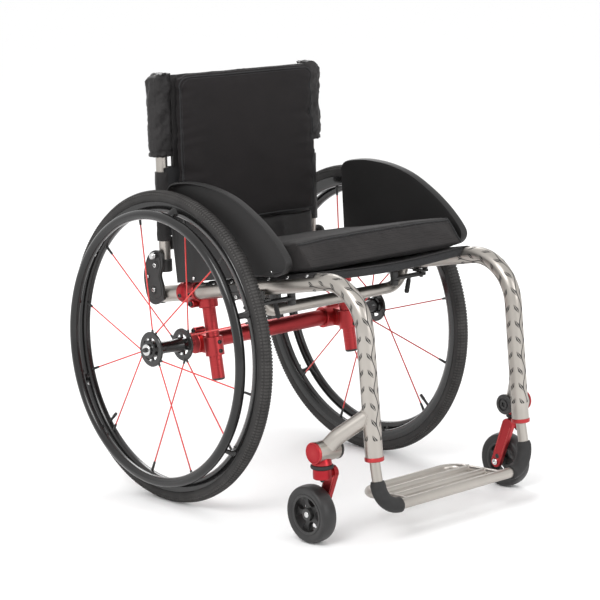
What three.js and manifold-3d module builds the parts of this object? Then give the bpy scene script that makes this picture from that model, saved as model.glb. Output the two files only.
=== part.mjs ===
// Rigid-frame manual wheelchair, millimetres, +Z up, front of the chair toward -Y.
// The chair is laid out from the rear axle line (y = 0) and from the floor (z = 0);
// the whole layout is then shifted so that the origin is under the middle of its box.
import * as THREE from 'three';
import { mergeVertices } from 'three/addons/utils/BufferGeometryUtils.js';
import Module from 'manifold-3d';

const wasm = await Module();
wasm.setup();

// ---------------------------------------------------------------- driving dimensions
const gap = 0.4;                    // clearance left between separate pieces

// side frames
const tubeOd = 31.75;               // frame tube, outside
const seatWidth = 406.4;            // outside to outside of the two side tubes
const seatSlope = 9.5;              // degrees, the rails rise toward the front
const axleToRail = 96.2;            // rail axis over the rear axle, above the wheel's radius
const railTail = 88;                // rail runs this far behind the axle
const frontCorner = 470;            // corner of rail and front tube, ahead of the axle
const frontLean = 4.3;              // degrees, the front tubes lean forward going down
const frontBend = 88;               // bend radius of the side tube's axis
const frontTubeEnd = 160;           // height of the front tube's open end
const legBore = 26.5;               // bore of the front tube's end
const legInsert = 34;               // length of footrest leg inside that bore

// rear wheels
const wheelRadius = 295;
const tyreSection = 26;
const camber = 2;                   // degrees, wheel tops lean in
const guardToWheel = 10.7;          // guard's lip to the wheel plane at the top of the wheel
const rimInner = 253;
const rimWidth = 23;
const spokeCount = 12;
const spokeWidth = 2.6;
const flangeSpread = 37;            // wheel plane to each hub flange
const flangeRadius = 33;
const hubBarrel = 13;
const handrimRadius = 252;
const handrimTube = 9.5;
const handrimOffset = 32.5;         // wheel plane to handrim plane
const handrimTabs = 6;
const axlePinRadius = 6.35;
const buttonRadius = 4.2;           // quick-release button in the axle's end
const buttonTravel = 4;
const wheelFacets = 36;

// axle mounting
const postRadius = 12.7;
const postInset = 15.3;             // the posts stand this far inside the rail axis
const postAhead = 26;               // post axis ahead of the axle, at rail height
const postLength = 150;
const axleClampWidth = 50;
const axleClampWall = 3;
const camberTubeOd = 31.75;
const camberClampWall = 5;

// seat
const crossTubeOd = 22.2;
const crossTubeAhead = 190;         // ahead of the axle
const crossTubeDrop = 48;           // low section below the rail axis
const slingThickness = 2.5;
const slingShort = 108;             // sling ends this far behind the front corner
const slingWrapEnd = 62;            // the sling wraps the rails ahead of this
const cushionInset = 6.2;           // cushion's side inside the frame's outer face
const cushionLift = 75;             // cushion top above the rail axis
const cushionShort = 113;           // cushion ends this far behind the front corner
const cushionBevel = 42;
const cushionRear = 33;             // cushion ends this far behind the axle
const guardOut = 9.8;               // guard's inner face outside the frame
const guardThickness = 4;
const guardLip = 12;
const guardFoot = 5.5;              // guard's foot above the rail tube
const guardTabDrop = 3.875;         // guard's mounting tabs below and above the top of the rail tube
const guardTabRise = 8.125;
const guardRear = -5;               // rear end of the guard's foot, ahead of the axle
const guardFront = 228;             // front end of the guard's foot

// backrest
const caneOd = 22.2;
const caneSetback = 11;             // cane axis ahead of the rail's tail end
const pivotLift = 60.5;             // pivot above the rail's tail end
const pivotPin = 4;
const caneRise = 360;               // cane top above the pivot
const backRise = 366;               // cushion top above the pivot
const backLift = 66;                // cushion's bottom edge above the pivot
const backInset = 30.2;             // cushion's side inside the frame's outer face
const padAhead = 39;                // cushion face ahead of the cane axis
const slingAhead = 20;              // upholstery's front ahead of the cane axis
const sleeveBehind = 16;
const sleeveOut = 24.7;             // sleeve's side outside the cane axis
const sleeveLift = 205;
const bandOut = 15.7;
const bracketThickness = 6.4;

// footrest
const legOd = 19;
const footrestHeight = 68;
const footrestReach = 39;           // footrest's front bar ahead of the front corner
const footrestBend = 44;
const plateDepth = 125;
const plateBackHeight = 61.5;
const plateInset = 69.3;            // side of the foot plate inside the legs
const plateBend = 34;
const plateBarOd = 16;
const protectorOd = 27.5;

// casters
const casterRadius = 52;
const casterWidth = 34;
const casterWall = 16;              // thickness of the caster's tyre
const stemSetback = 43;             // stem axis behind the front corner
const casterTrail = 30;
const forkClear = 17;               // fork head above the caster's top
const forkHeadHeight = 19;
const forkHeadRadius = 16.5;
const barrelLift = 30;              // barrel axis above the fork head
const barrelOd = 37;
const barrelLength = 48;
const barrelInset = 8;              // barrel centre inboard of the stem
const armLift = 66;                 // caster arm's start above the barrel
const forkPlate = 9;
const forkPlateInset = 24;          // fork plate's centre inboard of the stem
const forkPlateWidth = 24;
const casterPin = 4;
const casterBore = 4.6;

// wheel locks
const lockClampAhead = 156;
const lockPivotAhead = 222;
const lockPivotPin = 3.5;
const lockPivotGap = 0.8;           // lock pivot outside the frame's outer face
const lockArm = 73;
const lockDrop = 29.35;             // lever below the rail axis
const lockShoe = 8;

// ---------------------------------------------------------------- derived places
const radians = THREE.MathUtils.degToRad;
const frameSide = seatWidth / 2;
const frameX = frameSide - tubeOd / 2;
const railRise = Math.tan(radians(seatSlope));
const railHeight = wheelRadius + axleToRail;
const railZ = (y) => railHeight - y * railRise;
const frontSlope = Math.tan(radians(frontLean));
const frontCornerZ = railZ(-frontCorner);
const frontY = (z) => -frontCorner - (frontCornerZ - z) * frontSlope;
const guardPlane = frameSide + guardOut;
const guardOuter = guardPlane + guardThickness + guardLip;
const wheelX = guardOuter + guardToWheel + wheelRadius * Math.sin(radians(camber));
const wheelHubZ = (wheelRadius - tyreSection / 2) * Math.cos(radians(camber)) + tyreSection / 2;
const axleZ = (x) => wheelHubZ - (wheelX - x) * Math.tan(radians(camber));
const frameAxleZ = axleZ(frameX);
const tyreBed = wheelRadius - tyreSection + 2.5;
const hubEnd = flangeSpread + 8;
const postX = frameX - postInset;
const cushionHalf = frameSide - cushionInset;
const cushionFront = frontCorner - cushionShort;
const slingFront = frontCorner - slingShort;
const caneBehind = railTail - caneSetback;
const railEndZ = railZ(railTail);
const pivotHeight = railEndZ + pivotLift;
const caneTop = pivotHeight + caneRise;
const backTop = pivotHeight + backRise;
const backBottom = pivotHeight + backLift;
const sleeveBottom = pivotHeight + sleeveLift;
const backHalf = frameSide - backInset;
const backFront = caneBehind - padAhead;
const slingSplit = caneBehind - slingAhead;
const sleeveBack = caneBehind + sleeveBehind;
const footrestAhead = frontCorner + footrestReach;
const plateBack = footrestAhead - plateDepth;
const plateHalf = frameX - plateInset;
const stemAhead = frontCorner - stemSetback;
const forkHeadBottom = 2 * casterRadius + forkClear;
const forkHeadTop = forkHeadBottom + forkHeadHeight;
const barrelHeight = forkHeadTop + barrelLift;
const barrelX = wheelX - barrelInset;
const casterTyreInner = casterRadius - casterWall;
const lockPivotX = frameSide + lockPivotGap;
const lockArmHeight = railZ(-lockPivotAhead) - lockDrop;
const protectorFront = footrestAhead + protectorOd / 2;
const middle = (protectorFront - wheelRadius) / 2;
const sides = [['right', -1], ['left', 1]];

// ---------------------------------------------------------------- helpers
const colours = {
  titanium: [0xa9a49b, 0.38, 1.0],
  red: [0xa52a34, 0.35, 0.85],
  spokeRed: [0xd8322f, 0.4, 0.6],
  rubber: [0x2c2b2b, 0.8, 0.0],
  blackGloss: [0x141414, 0.2, 0.2],
  blackMatte: [0x1d1d1e, 0.6, 0.0],
  fabric: [0x19191a, 0.9, 0.0],
  steel: [0x9a9a9a, 0.3, 1.0],
};

function material(name) {
  const [color, roughness, metalness] = colours[name];
  return new THREE.MeshStandardMaterial({ color, roughness, metalness });
}

function solid(geometry) {
  const bare = geometry.clone();
  bare.deleteAttribute('normal');
  bare.deleteAttribute('uv');
  const merged = mergeVertices(bare, 1e-4);
  return new wasm.Manifold(new wasm.Mesh({
    numProp: 3,
    vertProperties: new Float32Array(merged.attributes.position.array),
    triVerts: new Uint32Array(merged.index.array),
  }));
}

function toGeometry(body) {
  const mesh = body.getMesh();
  const geometry = new THREE.BufferGeometry();
  geometry.setAttribute('position', new THREE.BufferAttribute(mesh.vertProperties, 3));
  geometry.setIndex(new THREE.BufferAttribute(mesh.triVerts, 1));
  return geometry;
}

function join(...geometries) {
  return toGeometry(geometries.map(solid).reduce((sum, next) => sum.add(next)));
}

function cut(geometry, ...tools) {
  return toGeometry(tools.map(solid).reduce((left, tool) => left.subtract(tool), solid(geometry)));
}

// A path through given points whose sections stand exactly at those points.
class Route extends THREE.Curve {
  constructor(points) {
    super();
    this.points = points;
  }

  getPoint(t, target = new THREE.Vector3()) {
    const place = Math.min(Math.max(t, 0), 1) * (this.points.length - 1);
    const index = Math.min(Math.floor(place), this.points.length - 2);
    return target.lerpVectors(this.points[index], this.points[index + 1], place - index);
  }

  getPointAt(u, target) {
    return this.getPoint(u, target);
  }

  getTangentAt(u, target = new THREE.Vector3()) {
    const last = this.points.length - 1;
    const index = Math.round(u * last);
    const before = this.points[Math.max(index - 1, 0)];
    const after = this.points[Math.min(index + 1, last)];
    return target.subVectors(after, before).normalize();
  }
}

// Corner points with every inner corner rounded to the radius given for it.
function rounded(corners, radius, steps = 8) {
  const points = [corners[0].clone()];
  for (let i = 1; i < corners.length - 1; i += 1) {
    const corner = corners[i];
    const back = corners[i - 1].clone().sub(corner).normalize();
    const ahead = corners[i + 1].clone().sub(corner).normalize();
    const half = back.angleTo(ahead) / 2;
    const r = Array.isArray(radius) ? radius[i - 1] : radius;
    const centre = back.clone().add(ahead).normalize().multiplyScalar(r / Math.sin(half)).add(corner);
    const start = back.multiplyScalar(r / Math.tan(half)).add(corner).sub(centre);
    const end = ahead.multiplyScalar(r / Math.tan(half)).add(corner).sub(centre);
    const turn = start.angleTo(end);
    for (let step = 0; step <= steps; step += 1) {
      const a = Math.sin(turn * (1 - step / steps)) / Math.sin(turn);
      const b = Math.sin(turn * step / steps) / Math.sin(turn);
      points.push(start.clone().multiplyScalar(a).addScaledVector(end, b).add(centre));
    }
  }
  points.push(corners[corners.length - 1].clone());
  return points;
}

function tube(points, radius, faces = 12, bore = 0) {
  const section = new THREE.Shape().absarc(0, 0, radius, 0, Math.PI * 2);
  if (bore > 0) {
    section.holes.push(new THREE.Path().absarc(0, 0, bore, 0, Math.PI * 2, true));
  }
  return new THREE.ExtrudeGeometry(section, {
    steps: points.length - 1,
    curveSegments: faces / 2,
    bevelEnabled: false,
    extrudePath: new Route(points),
  });
}

function rod(from, to, radius, faces = 14, endRadius = radius) {
  const geometry = new THREE.CylinderGeometry(endRadius, radius, from.distanceTo(to), faces);
  const up = new THREE.Vector3(0, 1, 0);
  const turn = new THREE.Quaternion().setFromUnitVectors(up, to.clone().sub(from).normalize());
  geometry.applyQuaternion(turn);
  const centre = from.clone().add(to).multiplyScalar(0.5);
  return geometry.translate(centre.x, centre.y, centre.z);
}

function box(low, high) {
  const size = high.map((value, i) => value - low[i]);
  const geometry = new THREE.BoxGeometry(...size);
  return geometry.translate(...high.map((value, i) => (value + low[i]) / 2));
}

// A ring turned about the X axis; a facet, not a corner, points straight down.
function turned(profile, segments) {
  const grow = 1 / Math.cos(Math.PI / segments);
  const points = profile.map(([radius, x]) => new THREE.Vector2(radius * grow, x));
  const geometry = new THREE.LatheGeometry(points, segments, Math.PI / segments);
  return geometry.rotateZ(-Math.PI / 2);
}

// A plate whose outline is given as (y, z) points, from x = low to x = high.
function plate(outline, low, high) {
  const shape = new THREE.Shape(outline.map(([y, z]) => new THREE.Vector2(y, z)));
  const geometry = new THREE.ExtrudeGeometry(shape, { depth: high - low, bevelEnabled: false });
  const basis = new THREE.Matrix4().makeBasis(
    new THREE.Vector3(0, 1, 0), new THREE.Vector3(0, 0, 1), new THREE.Vector3(1, 0, 0));
  return geometry.applyMatrix4(basis).translate(low, 0, 0);
}

function sidePlate(outline, side, inner, outer) {
  const ends = [side * inner, side * outer].sort((a, b) => a - b);
  return plate(outline, ends[0], ends[1]);
}

function stadium(start, end, startRadius, endRadius, faces = 10) {
  const axis = new THREE.Vector2(end[0] - start[0], end[1] - start[1]);
  const angle = axis.angle();
  const points = [];
  for (const [centre, radius, from] of [[start, startRadius, angle + Math.PI / 2],
    [end, endRadius, angle - Math.PI / 2]]) {
    for (let step = 0; step <= faces; step += 1) {
      const a = from + Math.PI * step / faces;
      points.push([centre[0] + radius * Math.cos(a), centre[1] + radius * Math.sin(a)]);
    }
  }
  return points;
}

const at = (x, y, z) => new THREE.Vector3(x, y, z);
const group = new THREE.Group();
group.name = 'manual_wheelchair';
group.position.set(0, middle, 0);

function add(name, geometry, finish, parent = group) {
  const mesh = new THREE.Mesh(geometry, material(finish));
  mesh.name = name;
  parent.add(mesh);
  return mesh;
}

// ---------------------------------------------------------------- side frames
function sideTubeRoute(side, start = railTail, end = frontTubeEnd) {
  return rounded([
    at(side * frameX, start, railZ(start)),
    at(side * frameX, -frontCorner, frontCornerZ),
    at(side * frameX, frontY(end), end),
  ], frontBend, 7);
}

function sideTube(side) {
  const boreTop = frontTubeEnd + legInsert + 8;
  const bore = rod(at(side * frameX, frontY(frontTubeEnd - 20), frontTubeEnd - 20),
    at(side * frameX, frontY(boreTop), boreTop), legBore / 2);
  return cut(tube(sideTubeRoute(side), tubeOd / 2), bore);
}

function tubeEnvelope(side) {
  return tube(sideTubeRoute(side, railTail + 5), tubeOd / 2 + gap);
}

function crossTube() {
  const low = railZ(-crossTubeAhead) - crossTubeDrop;
  const y = -crossTubeAhead;
  const points = rounded([
    at(-frameX, y, railZ(y)), at(-frameX + 3, y, low), at(frameX - 3, y, low), at(frameX, y, railZ(y)),
  ], [44, 44], 6);
  return cut(tube(points, crossTubeOd / 2), tubeEnvelope(-1), tubeEnvelope(1));
}

// ---------------------------------------------------------------- footrest
function footrestRoute(side) {
  const exit = frontTubeEnd - 8;
  return [
    at(side * frameX, frontY(frontTubeEnd + legInsert), frontTubeEnd + legInsert),
    at(side * frameX, frontY(exit), exit),
    at(side * frameX, -footrestAhead, footrestHeight),
  ];
}

function footrestPath() {
  const right = footrestRoute(-1);
  const left = footrestRoute(1).reverse();
  return rounded([...right, ...left], [150, footrestBend, footrestBend, 150], 6);
}

function footrestFrame() {
  const slope = (footrestHeight - plateBackHeight) / (footrestAhead - plateBack);
  const height = (y) => footrestHeight - (y + footrestAhead) * slope;
  const loop = rounded([
    at(-plateHalf, -footrestAhead, height(-footrestAhead)),
    at(-plateHalf, -plateBack, height(-plateBack)),
    at(plateHalf, -plateBack, height(-plateBack)),
    at(plateHalf, -footrestAhead, height(-footrestAhead)),
  ], plateBend, 6);
  const pieces = [tube(footrestPath(), legOd / 2), tube(loop, plateBarOd / 2, 10)];
  for (const share of [1 / 3, 2 / 3]) {
    const y = -footrestAhead + share * (footrestAhead - plateBack);
    pieces.push(rod(at(-plateHalf, y, height(y)), at(plateHalf, y, height(y)), plateBarOd / 2, 10));
  }
  return join(...pieces);
}

function bendProtector(side) {
  const path = footrestPath();
  const first = side < 0 ? 8 : 15;
  const bend = path.slice(first, first + 7);
  const beyond = (from, toward, length) => toward.clone().sub(from).setLength(length).add(from);
  const start = beyond(bend[0], path[first - 1], side < 0 ? 6 : 2);
  const end = beyond(bend[6], path[first + 7], side < 0 ? 2 : 6);
  return tube([start, ...bend, end], protectorOd / 2, 12, legOd / 2 + 1);
}

function collar(side) {
  const top = frontTubeEnd - gap;
  const bottom = top - 7;
  const outer = rod(at(side * frameX, frontY(bottom), bottom), at(side * frameX, frontY(top), top),
    tubeOd / 2 + 1.4, 14);
  return cut(outer, rod(at(side * frameX, frontY(bottom - 5), bottom - 5),
    at(side * frameX, frontY(top + 5), top + 5), legOd / 2 + 1.2, 16));
}

// ---------------------------------------------------------------- casters
function casterArm(side) {
  const startZ = barrelHeight + armLift;
  const arm = rounded([
    at(side * frameX, frontY(startZ), startZ),
    at(side * (barrelX - 14), -stemAhead - 16, barrelHeight + 24),
    at(side * barrelX, -stemAhead, barrelHeight + 1),
  ], 60, 4);
  const barrel = rod(at(side * barrelX - barrelLength / 2, -stemAhead, barrelHeight),
    at(side * barrelX + barrelLength / 2, -stemAhead, barrelHeight), barrelOd / 2, 14);
  const plugFace = side * (barrelX - barrelLength / 2);
  const plugRoom = rod(at(plugFace, -stemAhead, barrelHeight),
    at(plugFace - side * 8, -stemAhead, barrelHeight), barrelOd / 2 + 2);
  return cut(join(tube(arm, tubeOd / 2 - 1), barrel), tubeEnvelope(side), plugRoom);
}

function barrelCap(side, outboard) {
  const start = side * (barrelX + outboard * (barrelLength / 2 + gap));
  const thickness = outboard > 0 ? 4.5 : 6;
  return rod(at(start, -stemAhead, barrelHeight),
    at(start + side * outboard * thickness, -stemAhead, barrelHeight), barrelOd / 2 + 0.8, 14);
}

function stemHousing(side) {
  const x = side * wheelX;
  const sealTop = forkHeadTop + gap + 6;
  const body = rod(at(x, -stemAhead, sealTop), at(x, -stemAhead, barrelHeight), 18, 24, 13.5);
  const seal = rod(at(x, -stemAhead, forkHeadTop + gap), at(x, -stemAhead, sealTop + 0.2), 19.5, 14);
  const clear = rod(at(side * barrelX - 60, -stemAhead, barrelHeight),
    at(side * barrelX + 60, -stemAhead, barrelHeight), barrelOd / 2 + 0.8 + gap, 14);
  return cut(join(body, seal), clear);
}

// Fork, pin and nut in the swivelling frame: x across, y back from the stem, z from the floor.
function fork(side) {
  const plateX = -side * forkPlateInset;
  const top = [0, (forkHeadTop + forkHeadBottom) / 2 - 2];
  const bottom = [casterTrail, casterRadius];
  const head = rod(at(0, 0, forkHeadBottom), at(0, 0, forkHeadTop), forkHeadRadius, 14);
  const nut = rod(at(0, 0, forkHeadBottom - 6), at(0, 0, forkHeadBottom + 1), 5, 12);
  const ends = [plateX - forkPlate / 2, plateX + forkPlate / 2];
  const leg = plate(stadium(bottom, top, forkPlateWidth / 2 - 1, forkPlateWidth / 2), ends[0], ends[1]);
  const bridge = rod(at(plateX, 0, top[1]), at(0, 0, top[1]), 8, 16);
  const pin = rod(at(plateX, bottom[0], bottom[1]),
    at(side * (casterWidth / 2 - 4), bottom[0], bottom[1]), casterPin, 16);
  return join(head, nut, leg, bridge, pin);
}

function casterTyre() {
  const half = casterWidth / 2;
  const r = casterRadius;
  return turned([
    [casterTyreInner, -half + 5], [r - 9, -half + 1], [r - 3, -half + 5], [r, -6],
    [r, 6], [r - 3, half - 5], [r - 9, half - 1], [casterTyreInner, half - 5], [casterTyreInner, -half + 5],
  ], 28);
}

function casterCore() {
  const half = casterWidth / 2 - 5;
  const edge = casterTyreInner - 2 * gap;
  return turned([
    [casterBore, -half], [10, -half], [10, -3], [edge - 5, -3], [edge - 5, -half], [edge, -half],
    [edge, half], [edge - 5, half], [edge - 5, 3], [10, 3], [10, half], [casterBore, half],
    [casterBore, -half],
  ], 16);
}

// ---------------------------------------------------------------- axle mounting
const railDirection = at(0, -1, railRise).normalize();
const railNormal = at(0, railRise, 1).normalize();

function onRail(side, ahead, lift = 0, x = frameX) {
  return at(side * x, -ahead, railZ(-ahead)).addScaledVector(railNormal, lift);
}

function postAxis(side, drop) {
  return onRail(side, postAhead, -drop, postX);
}

function axleClamp(side) {
  const half = railDirection.clone().multiplyScalar(axleClampWidth / 2);
  const ringCentre = onRail(side, 2);
  const ring = rod(ringCentre.clone().sub(half), ringCentre.clone().add(half),
    tubeOd / 2 + axleClampWall, 14);
  const saddleTop = postAxis(side, tubeOd / 2 - 8);
  const saddle = rod(saddleTop, postAxis(side, tubeOd / 2 + 16), postRadius + 6, 14);
  const lugDrop = -tubeOd / 2 - 6;
  const lug = rod(onRail(side, 8, lugDrop, postX - 9), onRail(side, 8, lugDrop, frameX + 12), 8, 16);
  const bore = rod(onRail(side, -60), onRail(side, 80), tubeOd / 2 + 2 * gap);
  const postBore = rod(postAxis(side, tubeOd / 2 + 6), postAxis(side, tubeOd / 2 + 40), postRadius + gap, 16);
  return cut(join(ring, saddle, lug), bore, postBore);
}

function axlePost(side) {
  const top = tubeOd / 2 + 6;
  return rod(postAxis(side, top + gap), postAxis(side, top + postLength), postRadius, 16);
}

function camberTube() {
  const half = postX - postRadius - 6;
  return rod(at(-half, 0, frameAxleZ), at(half, 0, frameAxleZ), camberTubeOd / 2, 14);
}

// Where the post stands at the camber tube's height.
function postAtAxle(side) {
  const drop = (railZ(-postAhead) - frameAxleZ) / railNormal.z;
  return postAxis(side, drop);
}

function camberClamp(side) {
  const inner = postX - postRadius - 6 - 12;
  const outer = postX + postRadius + 2;
  const radius = camberTubeOd / 2 + camberClampWall;
  const barrel = rod(at(side * inner, 0, frameAxleZ), at(side * outer, 0, frameAxleZ), radius, 14);
  const post = postAtAxle(side);
  const sleeve = rod(post.clone().addScaledVector(railNormal, -20),
    post.clone().addScaledVector(railNormal, 16), postRadius + 5.5, 14);
  const webOutline = [[2, frameAxleZ - 18], [2, frameAxleZ + 18],
    [post.y, post.z + 16], [post.y, post.z - 16]];
  const web = sidePlate(webOutline, side, postX - 9, postX + 9);
  const tubeBore = rod(at(side * (inner - 5), 0, frameAxleZ),
    at(side * (postX - postRadius - 6 + gap), 0, frameAxleZ), camberTubeOd / 2 + gap, 14);
  const postBore = rod(post.clone().addScaledVector(railNormal, -40),
    post.clone().addScaledVector(railNormal, 40), postRadius + gap, 16);
  const axleBore = rod(at(side * (outer + 5), 0, axleZ(outer + 5)),
    at(side * (inner + 1), 0, axleZ(inner + 1)), axlePinRadius + gap);
  return cut(join(barrel, sleeve, web), tubeBore, postBore, axleBore);
}

// ---------------------------------------------------------------- rear wheels
function wheelGroup(side) {
  const wheel = new THREE.Group();
  wheel.position.set(side * wheelX, 0, wheelHubZ);
  wheel.rotation.set(0, -radians(camber), side > 0 ? 0 : Math.PI, 'ZYX');
  group.add(wheel);
  return wheel;
}

function tyre() {
  const centre = wheelRadius - tyreSection / 2;
  const r = tyreSection / 2;
  const profile = [];
  for (const angle of [-110, -72, -36, 0, 36, 72, 110]) {
    profile.push([centre + r * Math.cos(radians(angle)), r * Math.sin(radians(angle))]);
  }
  const lip = 8.5;
  const crown = profile.filter(([radius]) => radius > tyreBed);
  return turned([[tyreBed, -lip], ...crown, [tyreBed, lip], [tyreBed, -lip]], wheelFacets);
}

function rim() {
  const edge = tyreBed - gap;
  const half = rimWidth / 2 - 1.5;
  return turned([
    [rimInner, -4], [rimInner + 9, -half], [edge, -half], [edge, half], [rimInner + 9, half], [rimInner, 4],
    [rimInner, -4],
  ], wheelFacets);
}

function hub() {
  const out = flangeSpread;
  const inside = -flangeSpread;
  const bore = axlePinRadius + gap;
  const body = turned([
    [bore, inside - 6], [15, inside - 6], [15, inside - 2.5], [flangeRadius - 2, inside - 2.5],
    [flangeRadius - 2, inside + 2.5], [hubBarrel, inside + 8], [hubBarrel, out - 8],
    [flangeRadius, out - 2.5], [flangeRadius, out + 2.5], [18, out + 2.5], [18, out + 8], [bore, out + 8],
    [bore, inside - 6],
  ], 14);
  const pieces = [body];
  for (let i = 0; i < spokeCount; i += 1) {
    const angle = Math.PI * 2 * i / spokeCount + Math.PI / 10;
    const x = i % 2 ? out : inside;
    const lag = angle + (i % 4 < 2 ? 0.5 : -0.5);
    const start = at(x, (flangeRadius - 7) * Math.cos(lag), (flangeRadius - 7) * Math.sin(lag));
    const endRadius = rimInner - gap;
    const end = at(0, endRadius * Math.cos(angle), endRadius * Math.sin(angle));
    pieces.push(rod(start, end, spokeWidth / 2, 4));
  }
  return join(...pieces);
}

function handrim() {
  const ring = [];
  const faces = 7;
  for (let i = 0; i <= faces; i += 1) {
    const a = Math.PI * 2 * i / faces;
    ring.push([handrimRadius + handrimTube * Math.cos(a), handrimOffset + handrimTube * Math.sin(a)]);
  }
  const pieces = [turned(ring, wheelFacets)];
  for (let i = 0; i < handrimTabs; i += 1) {
    const a = Math.PI * 2 * (i + 0.35) / handrimTabs;
    const way = at(0, Math.cos(a), Math.sin(a));
    const inner = way.clone().multiplyScalar(handrimRadius + 6.5).setX(rimWidth / 2 + gap);
    const outer = way.clone().multiplyScalar(handrimRadius - 1).setX(handrimOffset);
    pieces.push(rod(inner, outer, 5, 6));
  }
  return join(...pieces);
}

function axlePin() {
  const shaft = rod(at(postX - wheelX - 8, 0, 0), at(hubEnd + 1, 0, 0), axlePinRadius - gap, 16);
  const head = rod(at(hubEnd + gap, 0, 0), at(hubEnd + 6, 0, 0), 11, 16);
  const bore = rod(at(hubEnd - buttonTravel - 1, 0, 0), at(hubEnd + 8, 0, 0), buttonRadius + gap, 14);
  return cut(join(shaft, head), bore);
}

function axleButton() {
  return rod(at(hubEnd, 0, 0), at(hubEnd + 6 + buttonTravel + 1, 0, 0), buttonRadius, 14);
}

// ---------------------------------------------------------------- seat
function alongRail(ahead, lift) {
  const point = onRail(1, ahead, lift);
  return [point.y, point.z];
}

function seatSling() {
  const wrap = tubeOd / 2 + gap;
  const outer = wrap + slingThickness;
  const section = new THREE.Shape();
  const turn = radians(38);
  section.moveTo(-frameX + 2, wrap);
  section.absarc(-frameX, 0, wrap, Math.PI / 2, Math.PI / 2 + turn, false);
  section.absarc(-frameX, 0, outer, Math.PI / 2 + turn, Math.PI / 2, true);
  section.absarc(frameX, 0, outer, Math.PI / 2, Math.PI / 2 - turn, true);
  section.absarc(frameX, 0, wrap, Math.PI / 2 - turn, Math.PI / 2, false);
  section.closePath();
  const length = (slingFront - slingWrapEnd) / Math.cos(radians(seatSlope));
  const wrapped = new THREE.ExtrudeGeometry(section, {
    depth: length, bevelEnabled: false, curveSegments: 4,
  });
  const basis = new THREE.Matrix4().makeBasis(at(1, 0, 0), railNormal, railDirection);
  wrapped.applyMatrix4(basis);
  const start = onRail(0, slingWrapEnd);
  wrapped.translate(0, start.y, start.z);
  const tail = plate([alongRail(slingWrapEnd + 10, wrap), alongRail(slingWrapEnd + 10, outer),
    alongRail(-cushionRear + 8, outer), alongRail(-cushionRear + 8, wrap)], -frameX + 24, frameX - 24);
  return join(wrapped, tail);
}

function seatCushion() {
  const base = tubeOd / 2 + gap + slingThickness + gap;
  const rear = -cushionRear;
  const outline = [
    alongRail(rear + 6, base), alongRail(cushionFront - 12, base), alongRail(cushionFront, base + 12),
    [-cushionFront + cushionBevel, railZ(-cushionFront + cushionBevel) + cushionLift],
    [cushionRear, railZ(cushionRear) + cushionLift],
  ];
  return plate(outline, -cushionHalf, cushionHalf);
}

// Crest of the side guard, from its rear end forward; heights are above the rail over the axle.
function guardOutline() {
  const crest = new THREE.SplineCurve([
    [12, 194.8], [2, 207.8], [-27, 214.8], [-72, 217.3], [-129, 211.8], [-185, 196.8], [-239, 169.8],
    [-279, 142.8], [-310, 114.8], [-323, 94.8], [-314, 76.8], [-289, 66.8],
  ].map(([y, lift]) => new THREE.Vector2(y, railHeight + lift)));
  return crest.getPoints(20).map((point) => [point.x, point.y]);
}

function sideGuard(side) {
  const crest = guardOutline();
  const floorAt = (y) => railZ(y) + tubeOd / 2 + guardFoot;
  const foot = [[-guardFront, floorAt(-guardFront)], [-guardRear, floorAt(-guardRear)]];
  const sheet = sidePlate([...crest, ...foot], side, guardPlane, guardPlane + guardThickness);
  const inset = crest.map(([y, z], i) => {
    const before = crest[Math.max(i - 1, 0)];
    const after = crest[Math.min(i + 1, crest.length - 1)];
    const run = new THREE.Vector2(after[0] - before[0], after[1] - before[1]).normalize();
    return [y - run.y * 4, z + run.x * 4];
  });
  const band = sidePlate([...crest, ...inset.reverse()], side, guardPlane + 1, guardOuter);
  const pieces = [sheet, band];
  for (const y of [-46, -205]) {
    const corner = (run, lift) => [y + run, railZ(y + run) + lift];
    const low = tubeOd / 2 - guardTabDrop;
    const high = tubeOd / 2 + guardTabRise;
    const tab = [corner(-11, low), corner(11, low), corner(11, high), corner(-11, high)];
    pieces.push(sidePlate(tab, side, cushionHalf + 2.5, guardPlane + 2));
  }
  return join(...pieces);
}

// ---------------------------------------------------------------- backrest
const latchPoint = (side, x) => at(side * x, caneBehind + 2, pivotHeight + 18);

function backBracket(side) {
  const inner = frameSide + gap;
  const outer = inner + bracketThickness;
  const outline = [[-30, -4.5], [-4, -16.5], [18, -10.5], [27, 15.5], [29, 43.5], [15, 75.5], [-6, 88.5],
    [-26, 85.5], [-28, 63.5], [-24, 23.5]].map(([back, up]) => [railTail + back, railEndZ + up]);
  const cheek = sidePlate(outline, side, inner, outer);
  const plugStart = at(side * frameX, railTail + gap, railZ(railTail + gap));
  const plug = rod(plugStart, plugStart.clone().addScaledVector(railDirection, -15), tubeOd / 2 + 2, 14);
  const shelfOutline = [[4, -10], [22, -4], [24, 20], [6, 20]];
  const shelf = sidePlate(shelfOutline.map(([back, up]) => [railTail + back, railEndZ + up]),
    side, frameX - 8, inner + 2);
  const pin = rod(at(side * (frameX - caneOd / 2 - 3), caneBehind, pivotHeight),
    at(side * (inner + 2), caneBehind, pivotHeight), pivotPin, 16);
  const boss = rod(at(side * (outer - 1), caneBehind, pivotHeight),
    at(side * (outer + 3), caneBehind, pivotHeight), 9, 16);
  const latchHole = rod(latchPoint(side, inner - 5), latchPoint(side, outer + 5), 3.6, 16);
  return cut(join(cheek, plug, shelf, pin, boss), latchHole);
}

function latchPin(side) {
  const knobStart = frameSide + 7.8;
  const stem = rod(latchPoint(side, frameX + caneOd / 2 + 1.2), latchPoint(side, knobStart + 1), 3, 16);
  const knob = rod(latchPoint(side, knobStart), latchPoint(side, knobStart + 9), 6, 16);
  return join(stem, knob);
}

function backCane(side) {
  const cane = rod(at(side * frameX, caneBehind, pivotHeight - 13), at(side * frameX, caneBehind, caneTop),
    caneOd / 2, 16);
  return cut(cane, rod(at(side * (frameX - 30), caneBehind, pivotHeight),
    at(side * (frameX + 30), caneBehind, pivotHeight), pivotPin + gap, 16));
}

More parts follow.
